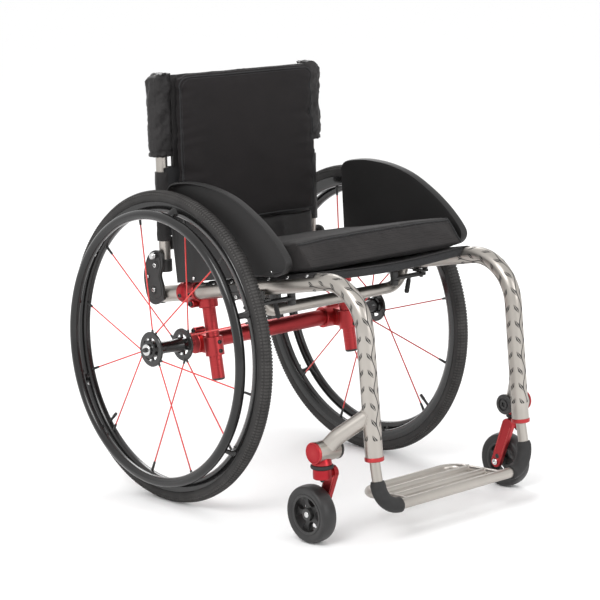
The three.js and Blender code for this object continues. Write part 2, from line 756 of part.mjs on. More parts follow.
function caneClearance(side) {
  return rod(at(side * frameX, caneBehind, pivotHeight - 40), at(side * frameX, caneBehind, caneTop + gap),
    caneOd / 2 + gap, 16);
}

function rigidizerBar() {
  const half = frameX - caneOd / 2 - gap;
  return rod(at(-half, caneBehind, pivotHeight + 38), at(half, caneBehind, pivotHeight + 38), 9.5, 16);
}

function roundedBox(low, high, radius) {
  const shape = new THREE.Shape();
  const corners = [[low[0], low[1]], [high[0], low[1]], [high[0], high[1]], [low[0], high[1]]];
  const starts = [Math.PI, -Math.PI / 2, 0, Math.PI / 2];
  corners.forEach(([x, y], i) => {
    const cx = x + (x === low[0] ? radius : -radius);
    const cy = y + (y === low[1] ? radius : -radius);
    shape.absarc(cx, cy, radius, starts[i], starts[i] + Math.PI / 2, false);
  });
  shape.closePath();
  const depth = high[2] - low[2];
  const geometry = new THREE.ExtrudeGeometry(shape, { depth, bevelEnabled: false, curveSegments: 4 });
  return geometry.translate(0, 0, low[2]);
}

function backUpholstery() {
  const sleeve = frameX + sleeveOut;
  const band = frameX + bandOut;
  const cover = roundedBox([-sleeve, slingSplit, sleeveBottom], [sleeve, sleeveBack, caneTop + 6], 15);
  const bands = roundedBox([-band, slingSplit + 2, backBottom - 15],
    [band, sleeveBack - 2, sleeveBottom + 5], 14);
  return cut(join(cover, bands), caneClearance(-1), caneClearance(1));
}

function backCushion() {
  const pad = roundedBox([-backHalf, backFront, backBottom], [backHalf, slingSplit - gap, backTop], 6);
  const flapHalf = backHalf - 3;
  const flap = box([-flapHalf, backFront + 8, pivotHeight + 27], [flapHalf, slingSplit - 2, backBottom + 5]);
  return join(pad, flap);
}

// ---------------------------------------------------------------- wheel locks
function lockClamp(side) {
  const half = railDirection.clone().multiplyScalar(18);
  const centre = onRail(side, lockClampAhead);
  const ring = rod(centre.clone().sub(half), centre.clone().add(half), tubeOd / 2 + 5, 14);
  const bore = rod(onRail(side, lockClampAhead - 60), onRail(side, lockClampAhead + 160),
    tubeOd / 2 + 2 * gap);
  const above = centre.z + 9;
  const open = box([side * frameX - 40, -lockClampAhead - 40, above],
    [side * frameX + 40, -lockClampAhead + 40, above + 60]);
  const arm = [[-lockClampAhead + 14, centre.z - 25.3], [-lockClampAhead + 14, centre.z - 7.3],
    [-lockPivotAhead - 13, centre.z + 6.7], [-lockPivotAhead - 13, lockArmHeight + 6],
    [-lockClampAhead - 16, lockArmHeight + 4]];
  const strap = sidePlate(arm, side, frameSide + 2, frameSide + 6);
  const shelfEnds = [side * (lockPivotX - 13), side * (lockPivotX + 7)].sort((a, b) => a - b);
  const shelf = box([shelfEnds[0], -lockPivotAhead - 13, lockArmHeight + 5],
    [shelfEnds[1], -lockPivotAhead + 11, lockArmHeight + 9]);
  const pin = rod(at(side * lockPivotX, -lockPivotAhead, lockArmHeight - 7),
    at(side * lockPivotX, -lockPivotAhead, lockArmHeight + 6), lockPivotPin, 16);
  return cut(join(cut(ring, open), strap, shelf, pin), bore);
}

// Built about its own pivot, pointing inboard.
function lockLever(side) {
  const reach = -side * lockArm;
  const outline = stadium([0, 0], [reach, 0], 9, 8);
  const shape = new THREE.Shape(outline.map(([x, y]) => new THREE.Vector2(x, y)));
  const arm = new THREE.ExtrudeGeometry(shape, { depth: 6, bevelEnabled: false }).translate(0, 0, -3);
  const shoe = rod(at(reach, 0, -13), at(reach, 0, 14), lockShoe, 16);
  const handle = rod(at(reach * 0.45, 0, 0), at(reach * 0.6, 0, -42), 5, 12);
  const bore = rod(at(0, 0, -20), at(0, 0, 16), lockPivotPin + gap, 16);
  return cut(join(arm, shoe, handle), bore);
}

// ---------------------------------------------------------------- assembly
add('seat_cross_tube', crossTube(), 'titanium');
add('footrest_frame', footrestFrame(), 'titanium');
add('camber_tube', camberTube(), 'red');
add('seat_sling', seatSling(), 'fabric');
add('seat_cushion', seatCushion(), 'fabric');
add('rigidizer_bar', rigidizerBar(), 'blackMatte');
add('back_upholstery', backUpholstery(), 'fabric');
add('back_cushion', backCushion(), 'fabric');

for (const [name, side] of sides) {
  add(`${name}_side_tube`, sideTube(side), 'titanium');
  add(`${name}_footrest_collar`, collar(side), 'red');
  add(`${name}_bend_protector`, bendProtector(side), 'rubber');
  add(`${name}_caster_arm`, casterArm(side), 'titanium');
  add(`${name}_barrel_cap`, barrelCap(side, 1), 'red');
  add(`${name}_barrel_plug`, barrelCap(side, -1), 'blackMatte');
  add(`${name}_stem_housing`, stemHousing(side), 'red');
  add(`${name}_axle_clamp`, axleClamp(side), 'red');
  add(`${name}_axle_post`, axlePost(side), 'red');
  add(`${name}_camber_clamp`, camberClamp(side), 'red');
  add(`${name}_side_guard`, sideGuard(side), 'blackMatte');
  add(`${name}_back_bracket`, backBracket(side), 'blackMatte');
  add(`${name}_latch_pin`, latchPin(side), 'steel');
  add(`${name}_back_cane`, backCane(side), 'titanium');
  add(`${name}_lock_clamp`, lockClamp(side), 'blackMatte');

  const lock = add(`${name}_lock_lever`, lockLever(side), 'blackMatte');
  lock.position.set(side * lockPivotX, -lockPivotAhead, lockArmHeight);

  const wheel = wheelGroup(side);
  add(`${name}_tyre`, tyre(), 'rubber', wheel);
  add(`${name}_rim`, rim(), 'blackGloss', wheel);
  add(`${name}_hub`, hub(), 'spokeRed', wheel);
  add(`${name}_handrim`, handrim(), 'blackGloss', wheel);
  add(`${name}_axle_pin`, axlePin(), 'steel', wheel);
  add(`${name}_axle_button`, axleButton(), 'blackGloss', wheel);

  const caster = new THREE.Group();
  caster.position.set(side * wheelX, -stemAhead, 0);
  group.add(caster);
  add(`${name}_caster_fork`, fork(side), 'red', caster);
  for (const [part, geometry, finish] of [['caster_tyre', casterTyre(), 'rubber'],
    ['caster_core', casterCore(), 'blackMatte']]) {
    const piece = add(`${name}_${part}`, geometry, finish, caster);
    piece.position.set(0, casterTrail, casterRadius);
  }
}

export default group;
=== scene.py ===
import math

import bmesh
import bpy
from mathutils import Matrix, Vector, noise
from mathutils.bvhtree import BVHTree


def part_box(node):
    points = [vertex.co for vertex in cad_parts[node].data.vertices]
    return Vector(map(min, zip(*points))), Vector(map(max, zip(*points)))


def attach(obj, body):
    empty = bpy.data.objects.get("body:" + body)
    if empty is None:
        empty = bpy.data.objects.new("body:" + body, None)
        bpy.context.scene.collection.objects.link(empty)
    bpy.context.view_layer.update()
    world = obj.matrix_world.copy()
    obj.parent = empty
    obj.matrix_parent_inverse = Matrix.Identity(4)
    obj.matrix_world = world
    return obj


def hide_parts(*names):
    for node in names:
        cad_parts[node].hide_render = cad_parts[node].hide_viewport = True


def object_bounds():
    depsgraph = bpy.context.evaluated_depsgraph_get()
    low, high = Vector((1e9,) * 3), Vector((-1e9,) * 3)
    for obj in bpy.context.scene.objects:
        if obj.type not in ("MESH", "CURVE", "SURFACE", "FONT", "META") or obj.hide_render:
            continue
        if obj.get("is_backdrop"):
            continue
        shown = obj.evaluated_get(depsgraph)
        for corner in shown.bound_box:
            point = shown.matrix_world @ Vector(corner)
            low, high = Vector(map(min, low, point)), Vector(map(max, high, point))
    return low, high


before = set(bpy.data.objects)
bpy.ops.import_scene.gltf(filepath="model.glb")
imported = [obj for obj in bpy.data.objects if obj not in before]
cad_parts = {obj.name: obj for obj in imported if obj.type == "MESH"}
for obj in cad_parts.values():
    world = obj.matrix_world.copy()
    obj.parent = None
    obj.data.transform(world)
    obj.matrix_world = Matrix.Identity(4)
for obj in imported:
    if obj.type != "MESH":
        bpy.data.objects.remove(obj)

cad_low, cad_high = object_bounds()

# Lengths are in metres. The chair faces -Y, its left side is +X, and z = 0 is the floor.
SIDES = (("right", -1), ("left", 1))

tyre_low, tyre_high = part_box("left_tyre")
AXLE_Y = (tyre_low[1] + tyre_high[1]) / 2      # the rear axle line

FRAME_TUBE = 0.015875                          # radius of the main frame tube
FRAME_X = 0.187325                             # side frame to the middle of the chair
RAIL_RISE = math.tan(math.radians(9.5))
RAIL_Z = 0.3912                                # rail axis above the floor, over the axle
RAIL_TAIL = 0.088
FRONT_CORNER = 0.470                           # corner of rail and front tube, ahead of the axle
FRONT_LEAN = math.tan(math.radians(4.3))
FRONT_BEND = 0.088
FRONT_TUBE_END = 0.160

WHEEL_TRACK = 0.500
CAMBER = math.radians(2)
WHEEL_RADIUS = 0.295
TYRE_RADIUS = 0.013
RIM_INNER = 0.253
HUB_Z = (WHEEL_RADIUS - TYRE_RADIUS) * math.cos(CAMBER) + TYRE_RADIUS
HANDRIM_RADIUS = 0.252
HANDRIM_TUBE = 0.0095
HANDRIM_OUT = 0.0325
FLANGE_OUT = 0.037
SPOKES = 12

STEM_AHEAD = 0.427
CASTER_TRAIL = 0.030
CASTER_RADIUS = 0.052
BARREL_Z = 0.170
BARREL_RADIUS = 0.0185
BARREL_X = WHEEL_TRACK / 2 - 0.008

POST_X = FRAME_X - 0.0153
CANE_BEHIND = 0.077
PIVOT_Z = 0.437


def place(x, y, z):
    """A point given from the rear axle line and the floor."""
    return Vector((x, y + AXLE_Y, z))


def side_plane(y, z, x):
    """A plate's outline point (y, z) at depth x, in the chair's place."""
    return (x, y + AXLE_Y, z)


def placed(point):
    return place(point.x, point.y, point.z)


def rail_z(y):
    return RAIL_Z - y * RAIL_RISE


def front_y(z):
    return -FRONT_CORNER - (rail_z(-FRONT_CORNER) - z) * FRONT_LEAN


# ------------------------------------------------------------------ camera
CAMERA_PLACE = Vector((-2.5478, -2.8727, 1.0870))
CAMERA_LENS = 122.66
CAMERA_TURN = math.radians(-41.403)
CAMERA_HEIGHT = math.radians(10.68)
CAMERA_ROLL = math.radians(-1.474)


def add_camera():
    back = Vector((math.sin(CAMERA_TURN) * math.cos(CAMERA_HEIGHT),
                   -math.cos(CAMERA_TURN) * math.cos(CAMERA_HEIGHT),
                   math.sin(CAMERA_HEIGHT)))
    level = Vector((math.cos(CAMERA_TURN), math.sin(CAMERA_TURN), 0))
    up = back.cross(level)
    right = level * math.cos(CAMERA_ROLL) + up * math.sin(CAMERA_ROLL)
    up = up * math.cos(CAMERA_ROLL) - level * math.sin(CAMERA_ROLL)
    data = bpy.data.cameras.new("camera")
    data.lens = CAMERA_LENS
    data.sensor_width = 36
    data.clip_end = 50
    camera = bpy.data.objects.new("camera", data)
    turn = Matrix((right, up, back)).transposed().to_4x4()
    camera.matrix_world = Matrix.Translation(CAMERA_PLACE) @ turn
    bpy.context.scene.collection.objects.link(camera)
    bpy.context.scene.camera = camera


add_camera()


# ------------------------------------------------------------------ finishes
class Finish:
    """A material under construction: its shader and short calls for the nodes before it."""

    def __init__(self, name, roughness=0.5, metallic=0.0):
        self.material = bpy.data.materials.new(name)
        self.material.use_nodes = True
        self.tree = self.material.node_tree
        self.shader = self.tree.nodes["Principled BSDF"]
        self.shader.inputs["Roughness"].default_value = roughness
        self.shader.inputs["Metallic"].default_value = metallic

    def node(self, kind, **settings):
        made = self.tree.nodes.new(kind)
        for key, value in settings.items():
            setattr(made, key, value)
        return made

    def link(self, source, target):
        self.tree.links.new(source, target)

    def coordinates(self, stretch=(1, 1, 1), turn=(0, 0, 0), kind="Object"):
        place_node = self.node("ShaderNodeTexCoord")
        mapping = self.node("ShaderNodeMapping")
        mapping.inputs["Scale"].default_value = stretch
        mapping.inputs["Rotation"].default_value = turn
        self.link(place_node.outputs[kind], mapping.inputs["Vector"])
        return mapping.outputs["Vector"]

    def noise(self, scale, detail=3, vector=None, roughness=0.5):
        made = self.node("ShaderNodeTexNoise")
        made.inputs["Scale"].default_value = scale
        made.inputs["Detail"].default_value = detail
        made.inputs["Roughness"].default_value = roughness
        self.link(vector or self.coordinates(), made.inputs["Vector"])
        return made.outputs["Fac"]

    def wave(self, scale, vector, distortion=0.0):
        made = self.node("ShaderNodeTexWave")
        made.inputs["Scale"].default_value = scale
        made.inputs["Distortion"].default_value = distortion
        self.link(vector, made.inputs["Vector"])
        return made.outputs["Fac"]

    def maths(self, operation, first, second=None, clamp=False):
        made = self.node("ShaderNodeMath", operation=operation, use_clamp=clamp)
        for socket, value in zip(made.inputs, (first, second)):
            if value is None:
                continue
            if isinstance(value, (int, float)):
                socket.default_value = value
            else:
                self.link(value, socket)
        return made.outputs[0]

    def ramp(self, value, stops):
        made = self.node("ShaderNodeValToRGB")
        line = made.color_ramp
        for index, (position, color) in enumerate(stops):
            stop = line.elements[index] if index < 2 else line.elements.new(position)
            stop.position = position
            stop.color = (*color, 1)
        self.link(value, made.inputs["Fac"])
        return made.outputs["Color"]

    def spread(self, value, low, high):
        """value from 0 to 1 carried to low to high."""
        made = self.node("ShaderNodeMapRange")
        made.inputs["To Min"].default_value = low
        made.inputs["To Max"].default_value = high
        self.link(value, made.inputs["Value"])
        return made.outputs["Result"]

    def worn_edges(self):
        """1 on convex edges, 0 elsewhere."""
        geometry = self.node("ShaderNodeNewGeometry")
        made = self.node("ShaderNodeMapRange")
        made.inputs["From Min"].default_value = 0.52
        made.inputs["From Max"].default_value = 0.62
        self.link(geometry.outputs["Pointiness"], made.inputs["Value"])
        return made.outputs["Result"]

    def mix(self, factor, first, second):
        made = self.node("ShaderNodeMix", data_type="RGBA")
        self.link(factor, made.inputs[0])
        for socket, value in ((made.inputs[6], first), (made.inputs[7], second)):
            if isinstance(value, tuple):
                socket.default_value = (*value, 1)
            else:
                self.link(value, socket)
        return made.outputs[2]

    def color(self, source):
        self.link(source, self.shader.inputs["Base Color"])

    def rough(self, source):
        self.link(source, self.shader.inputs["Roughness"])

    def bump(self, height, strength, distance, under=None):
        made = self.node("ShaderNodeBump")
        made.inputs["Strength"].default_value = strength
        made.inputs["Distance"].default_value = distance
        self.link(height, made.inputs["Height"])
        if under is not None:
            self.link(under, made.inputs["Normal"])
        self.link(made.outputs["Normal"], self.shader.inputs["Normal"])
        return made.outputs["Normal"]


def brushed_titanium():
    finish = Finish("brushed_titanium", roughness=0.34, metallic=1.0)
    clouds = finish.noise(9, detail=4)
    grain = finish.noise(900, detail=2)
    finish.color(finish.ramp(clouds, ((0.25, (0.37, 0.345, 0.315)), (0.75, (0.48, 0.45, 0.415)))))
    finish.rough(finish.spread(grain, 0.28, 0.42))
    finish.bump(grain, 0.12, 0.0004)
    return finish.material


def etched_titanium():
    """Brushed titanium with a plain vine, darkened into the metal, up the front of the tube.
    The tube's own UV map runs in metres along it and round it."""
    finish = Finish("etched_titanium", metallic=1.0)
    clouds = finish.noise(9, detail=4)
    grain = finish.noise(900, detail=2)
    metal = finish.ramp(clouds, ((0.25, (0.37, 0.345, 0.315)), (0.75, (0.48, 0.45, 0.415))))
    split = finish.node("ShaderNodeSeparateXYZ")
    finish.link(finish.coordinates(kind="UV"), split.inputs[0])
    along, around = split.outputs[0], split.outputs[1]
    pitch = 0.058
    girth = 2 * math.pi * FRAME_TUBE / 3
    strip = finish.maths("FRACT", finish.maths("ADD", finish.maths("DIVIDE", around, girth), 0.5))
    around = finish.maths("MULTIPLY", finish.maths("SUBTRACT", strip, 0.5), girth)
    sway = finish.maths("SINE", finish.maths("MULTIPLY", along, 2 * math.pi / pitch))
    stem_gap = finish.maths("ABSOLUTE",
                            finish.maths("SUBTRACT", around, finish.maths("MULTIPLY", sway, 0.0035)))
    stem = finish.maths("LESS_THAN", stem_gap, 0.0010)
    # a pair of leaves at each half turn of the stem, leaning along it
    half = finish.maths("FRACT", finish.maths("MULTIPLY", along, 2 / pitch))
    leaf_along = finish.maths("MULTIPLY", finish.maths("SUBTRACT", half, 0.5), pitch / 2)
    leaf_around = finish.maths("SUBTRACT", finish.maths("ABSOLUTE", around), 0.0078)
    tilt = finish.maths("ADD", leaf_around, finish.maths("MULTIPLY", leaf_along, 0.55))
    reach = finish.maths("SUBTRACT", 0.0098, finish.maths("ABSOLUTE", leaf_along))
    leaf = finish.maths("LESS_THAN", finish.maths("ABSOLUTE", tilt), finish.maths("MULTIPLY", reach, 0.40))
    vein = finish.maths("GREATER_THAN", finish.maths("ABSOLUTE", tilt), 0.0005)
    pattern = finish.maths("MAXIMUM", stem, finish.maths("MULTIPLY", leaf, vein))
    below = finish.maths("GREATER_THAN", along, 0.445)
    above = finish.maths("LESS_THAN", along, 0.800)
    pattern = finish.maths("MULTIPLY", pattern, finish.maths("MULTIPLY", below, above))
    finish.color(finish.mix(pattern, metal, (0.075, 0.072, 0.070)))
    finish.rough(finish.maths("ADD", finish.spread(grain, 0.28, 0.42),
                              finish.maths("MULTIPLY", pattern, 0.25)))
    finish.bump(finish.maths("SUBTRACT", 1.0, pattern), 0.35, 0.0002)
    return finish.material


def anodised_red():
    finish = Finish("anodised_red", roughness=0.32, metallic=0.85)
    grain = finish.noise(1100, detail=2)
    clouds = finish.noise(14, detail=3)
    dye = finish.ramp(clouds, ((0.3, (0.30, 0.014, 0.020)), (0.7, (0.38, 0.020, 0.028))))
    finish.color(finish.mix(finish.worn_edges(), dye, (0.48, 0.07, 0.07)))
    finish.rough(finish.spread(grain, 0.26, 0.40))
    finish.bump(grain, 0.10, 0.0003)
    return finish.material


def spoke_red():
    finish = Finish("spoke_red", roughness=0.38)
    finish.color(finish.ramp(finish.noise(60), ((0.3, (0.60, 0.030, 0.028)), (0.7, (0.72, 0.045, 0.04)))))
    finish.shader.inputs["Coat Weight"].default_value = 0.3
    finish.bump(finish.noise(500), 0.1, 0.0002)
    return finish.material


def gloss_black():
    finish = Finish("gloss_black", roughness=0.16)
    flow = finish.noise(25, detail=2)
    finish.color(finish.mix(finish.worn_edges(), (0.0075, 0.0072, 0.0072), (0.022, 0.0215, 0.021)))
    finish.rough(finish.spread(flow, 0.12, 0.26))
    finish.bump(finish.noise(220), 0.04, 0.0003)
    finish.shader.inputs["Coat Weight"].default_value = 0.25
    finish.shader.inputs["Specular IOR Level"].default_value = 0.35
    finish.shader.inputs["Coat Roughness"].default_value = 0.08
    return finish.material


def satin_black():
    finish = Finish("satin_black", roughness=0.42)
    finish.color(finish.mix(finish.worn_edges(), (0.010, 0.0096, 0.0096), (0.04, 0.039, 0.038)))
    grain = finish.noise(800, detail=2)
    finish.rough(finish.spread(grain, 0.34, 0.52))
    finish.bump(grain, 0.12, 0.0004)
    return finish.material


def moulded_guard():
    finish = Finish("moulded_guard", roughness=0.55)
    grain = finish.noise(700, detail=4, roughness=0.7)
    patch = finish.noise(7, detail=4)
    finish.color(finish.ramp(patch, ((0.3, (0.012, 0.0115, 0.0115)), (0.7, (0.018, 0.017, 0.017)))))
    finish.rough(finish.spread(patch, 0.46, 0.62))
    finish.bump(grain, 0.28, 0.0006)
    finish.shader.inputs["Specular IOR Level"].default_value = 0.35
    return finish.material


def black_rubber():
    finish = Finish("black_rubber", roughness=0.62)
    scuff = finish.noise(40, detail=5, roughness=0.65)
    finish.color(finish.ramp(scuff, ((0.35, (0.017, 0.0165, 0.0165)), (0.75, (0.028, 0.027, 0.027)))))
    finish.rough(finish.spread(scuff, 0.50, 0.74))
    finish.bump(finish.noise(600, detail=3), 0.2, 0.0005)
    finish.shader.inputs["Specular IOR Level"].default_value = 0.3
    return finish.material


def smooth_rubber():
    finish = Finish("smooth_rubber", roughness=0.42)
    scuff = finish.noise(50, detail=5, roughness=0.6)
    finish.color(finish.ramp(scuff, ((0.35, (0.018, 0.0175, 0.0175)), (0.75, (0.028, 0.027, 0.027)))))
    finish.rough(finish.spread(scuff, 0.34, 0.56))
    finish.bump(finish.noise(500, detail=3), 0.1, 0.0004)
    finish.shader.inputs["Specular IOR Level"].default_value = 0.4
    return finish.material


def tyre_rubber(name="tyre_rubber", dark=(0.028, 0.027, 0.0265), light=(0.046, 0.044, 0.043)):
    finish = Finish(name, roughness=0.72)
    dust = finish.noise(28, detail=5, roughness=0.6)
    finish.color(finish.ramp(dust, ((0.3, dark), (0.72, light))))
    finish.rough(finish.spread(dust, 0.62, 0.82))
    finish.bump(finish.noise(450, detail=4), 0.3, 0.0006)
    finish.shader.inputs["Specular IOR Level"].default_value = 0.25
    return finish.material


def woven(name, dark, light, threads, sheen=0.06, roughness=0.75, depth=0.5, shine=0.2, crease=0.22):
    """Plain weave from two crossed rows of thread, in the piece's own space."""
    finish = Finish(name, roughness=roughness)
    across = finish.wave(threads, finish.coordinates(stretch=(1, 0.6, 1), turn=(0, 0, 0)))
    upward = finish.wave(threads, finish.coordinates(turn=(0, math.pi / 2, 0)))
    weave = finish.maths("MULTIPLY", across, upward)
    patch = finish.noise(18, detail=5)
    cloth = finish.ramp(patch, ((0.3, dark), (0.72, light)))
    finish.color(finish.mix(weave, cloth, tuple(min(1.0, 1.5 * part) for part in light)))
    finish.rough(finish.spread(patch, roughness - 0.08, roughness + 0.08))
    folds = finish.bump(finish.noise(55, detail=4), crease, 0.003)
    finish.bump(weave, depth, 0.0004, under=folds)
    finish.shader.inputs["Sheen Weight"].default_value = sheen
    finish.shader.inputs["Sheen Roughness"].default_value = 0.5
    finish.shader.inputs["Specular IOR Level"].default_value = shine
    return finish.material


def spacer_mesh():
    """Knitted mesh: small round holes in rows, painted darker than the thread as the shade inside them."""
    finish = Finish("spacer_mesh", roughness=0.85)
    cells = finish.node("ShaderNodeTexVoronoi")
    cells.inputs["Scale"].default_value = 420
    cells.inputs["Randomness"].default_value = 0.15
    finish.link(finish.coordinates(), cells.inputs["Vector"])
    hole = cells.outputs["Distance"]
    patch = finish.noise(14, detail=4)
    thread = finish.ramp(patch, ((0.3, (0.019, 0.0172, 0.0172)), (0.7, (0.029, 0.0262, 0.0260))))
    hole_painted_shade = finish.maths("LESS_THAN", hole, 0.30)
    # painted shade: the holes are coloured darker than the thread
    finish.color(finish.mix(hole_painted_shade, thread, (0.008, 0.008, 0.008)))
    folds = finish.bump(finish.noise(26, detail=4), 0.20, 0.004)
    finish.bump(hole, 0.5, 0.0006, under=folds)
    finish.shader.inputs["Sheen Weight"].default_value = 0.06
    finish.shader.inputs["Specular IOR Level"].default_value = 0.2
    return finish.material


def polished_steel():
    finish = Finish("polished_steel", roughness=0.2, metallic=1.0)
    scratch = finish.noise(320, detail=3, vector=finish.coordinates(stretch=(1, 1, 0.15)))
    finish.color(finish.ramp(scratch, ((0.3, (0.56, 0.56, 0.56)), (0.7, (0.68, 0.68, 0.67)))))
    finish.rough(finish.spread(scratch, 0.14, 0.30))
    finish.bump(scratch, 0.06, 0.0002)
    return finish.material


TITANIUM = brushed_titanium()
ETCHED = etched_titanium()
RED = anodised_red()
SPOKE_RED = spoke_red()
GLOSS_BLACK = gloss_black()
SATIN_BLACK = satin_black()
GUARD = moulded_guard()
RUBBER = black_rubber()
CASTER_RUBBER = smooth_rubber()
TYRE = tyre_rubber()
# the tread blocks get a lighter rubber than the casing: a painted highlight along the serrations
TREAD_PAINTED_HIGHLIGHT = tyre_rubber("tread_rubber_painted_highlight", (0.042, 0.040, 0.039), (0.070, 0.067, 0.065))
NYLON = woven("black_nylon", (0.0075, 0.0066, 0.0068), (0.0135, 0.0118, 0.0120), 900, sheen=0.03,
              roughness=0.48, shine=0.35, crease=0.45)
WEBBING = woven("black_webbing", (0.012, 0.012, 0.013), (0.024, 0.024, 0.025), 420, depth=0.8)
THREAD = woven("sewing_thread", (0.030, 0.030, 0.031), (0.050, 0.050, 0.052), 2500)
MESH = spacer_mesh()
FINE_KNIT = woven("fine_knit", (0.0088, 0.0075, 0.0078), (0.0140, 0.0120, 0.0124), 700, sheen=0.03,
                  roughness=0.85)
STEEL = polished_steel()


# ------------------------------------------------------------------ mesh making
class Form:
    """Points and faces gathered for one piece."""

    def __init__(self):
        self.points = []
        self.faces = []
        self.uvs = {}

    def add(self, points, faces, uvs=None):
        first = len(self.points)
        self.points.extend(Vector(point) for point in points)
        for index, face in enumerate(faces):
            if uvs:
                self.uvs[len(self.faces)] = uvs[index]
            self.faces.append([first + corner for corner in face])

    def moved(self, matrix):
        self.points = [matrix @ point for point in self.points]
        return self

    def shift(self):
        """From the axle line to the model's own origin."""
        return self.moved(Matrix.Translation((0, AXLE_Y, 0)))

    def sweep(self, path, radius, sides=32, squash=1.0, up=None):
        """A closed bar along path. radius is one value or one for each point."""
        radii = radius if isinstance(radius, (list, tuple)) else [radius] * len(path)
        tangents = []
        for index in range(len(path)):
            before = path[max(index - 1, 0)]
            after = path[min(index + 1, len(path) - 1)]
            tangents.append((after - before).normalized())
        normal = Vector(up) if up else tangents[0].orthogonal()
        points, faces, uvs = [], [], []
        along = 0.0
        lengths = []
        for index, (centre, tangent) in enumerate(zip(path, tangents)):
            if index:
                along += (centre - path[index - 1]).length
            lengths.append(along)
            normal = (normal - tangent * normal.dot(tangent)).normalized()
            side = tangent.cross(normal)
            for step in range(sides):
                angle = 2 * math.pi * step / sides
                around_tube = normal * math.cos(angle) + side * math.sin(angle) * squash
                points.append(centre + around_tube * radii[index])
        def around(step):
            turn = step / sides
            return (turn if turn <= 0.5 else turn - 1) * 2 * math.pi * radii[0]
        for ring in range(len(path) - 1):
            for step in range(sides):
                nxt = (step + 1) % sides
                faces.append((ring * sides + step, ring * sides + nxt,
                              (ring + 1) * sides + nxt, (ring + 1) * sides + step))
                far = around(step) + 2 * math.pi * radii[0] / sides
                uvs.append(((lengths[ring], around(step)), (lengths[ring], far),
                            (lengths[ring + 1], far), (lengths[ring + 1], around(step))))
        faces.append(tuple(reversed(range(sides))))
        faces.append(tuple(range((len(path) - 1) * sides, len(path) * sides)))
        uvs.extend([((0.0, 0.5),) * sides] * 2)
        self.add(points, faces, uvs)
        return self

    def rod(self, start, end, radius, sides=32, edge=0.0008, end_radius=None):
        """A bar with small rounded-off ends."""
        start, end = Vector(start), Vector(end)
        far = radius if end_radius is None else end_radius
        way = (end - start).normalized()
        path = [start, start + way * edge, end - way * edge, end]
        return self.sweep(path, [radius - edge, radius, far, far - edge], sides)

    def turned(self, profile, centre=(0, 0, 0), axis=(1, 0, 0), sides=64, first=0.0):
        """profile is (radius, along) points. It closes on itself, or on the axis where a radius is 0."""
        centre, axis = Vector(centre), Vector(axis).normalized()
        across = axis.orthogonal().normalized() if abs(axis.x) < 0.9 else Vector((0, 1, 0))
        across = (across - axis * across.dot(axis)).normalized()
        other = axis.cross(across)
        closed = profile[0] == profile[-1]
        rows = profile[:-1] if closed else profile
        points, faces, starts = [], [], []
        for radius, along in rows:
            starts.append(len(points))
            if radius == 0:
                points.append(centre + axis * along)
                continue
            for step in range(sides):
                angle = first + 2 * math.pi * step / sides
                spoke = across * math.cos(angle) + other * math.sin(angle)
                points.append(centre + axis * along + spoke * radius)
        count = len(rows)
        for index in range(count if closed else count - 1):
            nxt = (index + 1) % count
            a, b = starts[index], starts[nxt]
            for step in range(sides):
                other_step = (step + 1) % sides
                if rows[index][0] == 0:
                    faces.append((a, b + step, b + other_step))
                elif rows[nxt][0] == 0:
                    faces.append((a + step, b, a + other_step))
                else:
                    faces.append((a + step, b + step, b + other_step, a + other_step))
        self.add(points, faces)
        return self

    def slab(self, outline, low, high, spread):
        """A flat plate: outline points carried to space by spread(first, second, depth)."""
        count = len(outline)
        points = [spread(*point, low) for point in outline] + [spread(*point, high) for point in outline]
        faces = [tuple(range(count)), tuple(reversed(range(count, 2 * count)))]
        for index in range(count):
            nxt = (index + 1) % count
            faces.append((index, index + count, nxt + count, nxt))
        self.add(points, faces)
        return self

    def block(self, low, high):
        outline = [(low[0], low[1]), (high[0], low[1]), (high[0], high[1]), (low[0], high[1])]
        return self.slab(outline, low[2], high[2], lambda x, y, z: (x, y, z))


def bolt(form, seat, axis, radius=0.005, height=0.004):
    """A socket-head screw standing on seat, its hexagon socket sunk in."""
    seat, axis = Vector(seat), Vector(axis).normalized()
    socket = radius * 0.52
    form.turned([(0, -0.001), (radius, -0.001), (radius, height - 0.0007), (radius - 0.0007, height),
                 (socket * 1.15, height)], seat, axis, 24)
    form.turned([(socket * 1.15, height), (socket, height), (socket, height - 0.002), (0, height - 0.002)],
                seat, axis, 24)
    return form


def rounded(corners, radius, steps=14):
    """Corner points with each inner corner rounded to its radius."""
    corners = [Vector(corner) for corner in corners]
    points = [corners[0]]
    for index in range(1, len(corners) - 1):
        corner = corners[index]
        back = (corners[index - 1] - corner).normalized()
        ahead = (corners[index + 1] - corner).normalized()
        half = back.angle(ahead) / 2
        r = radius[index - 1] if isinstance(radius, (list, tuple)) else radius
        centre = corner + (back + ahead).normalized() * (r / math.sin(half))
        start = corner + back * (r / math.tan(half)) - centre
        end = corner + ahead * (r / math.tan(half)) - centre
        turn = start.angle(end)
        for step in range(steps + 1):
            share = step / steps
            a = math.sin(turn * (1 - share)) / math.sin(turn)
            b = math.sin(turn * share) / math.sin(turn)
            points.append(centre + start * a + end * b)
    points.append(corners[-1])
    return points


def mesh_from(form, name):
    mesh = bpy.data.meshes.new(name)
    mesh.from_pydata([tuple(point) for point in form.points], [], form.faces)
    if form.uvs:
        layer = mesh.uv_layers.new(name="along_tube")
        for polygon in mesh.polygons:
            corners = form.uvs.get(polygon.index)
            if corners:
                for loop, corner in zip(polygon.loop_indices, corners):
                    layer.data[loop].uv = corner
    return mesh


def outward(mesh, merge=1e-6):
    work = bmesh.new()
    work.from_mesh(mesh)
    bmesh.ops.remove_doubles(work, verts=work.verts, dist=merge)
    bmesh.ops.recalc_face_normals(work, faces=work.faces)
    work.to_mesh(mesh)
    work.free()


def smooth_edges(mesh, angle=35):
    mesh.shade_smooth()
    mesh.set_sharp_from_angle(angle=math.radians(angle))


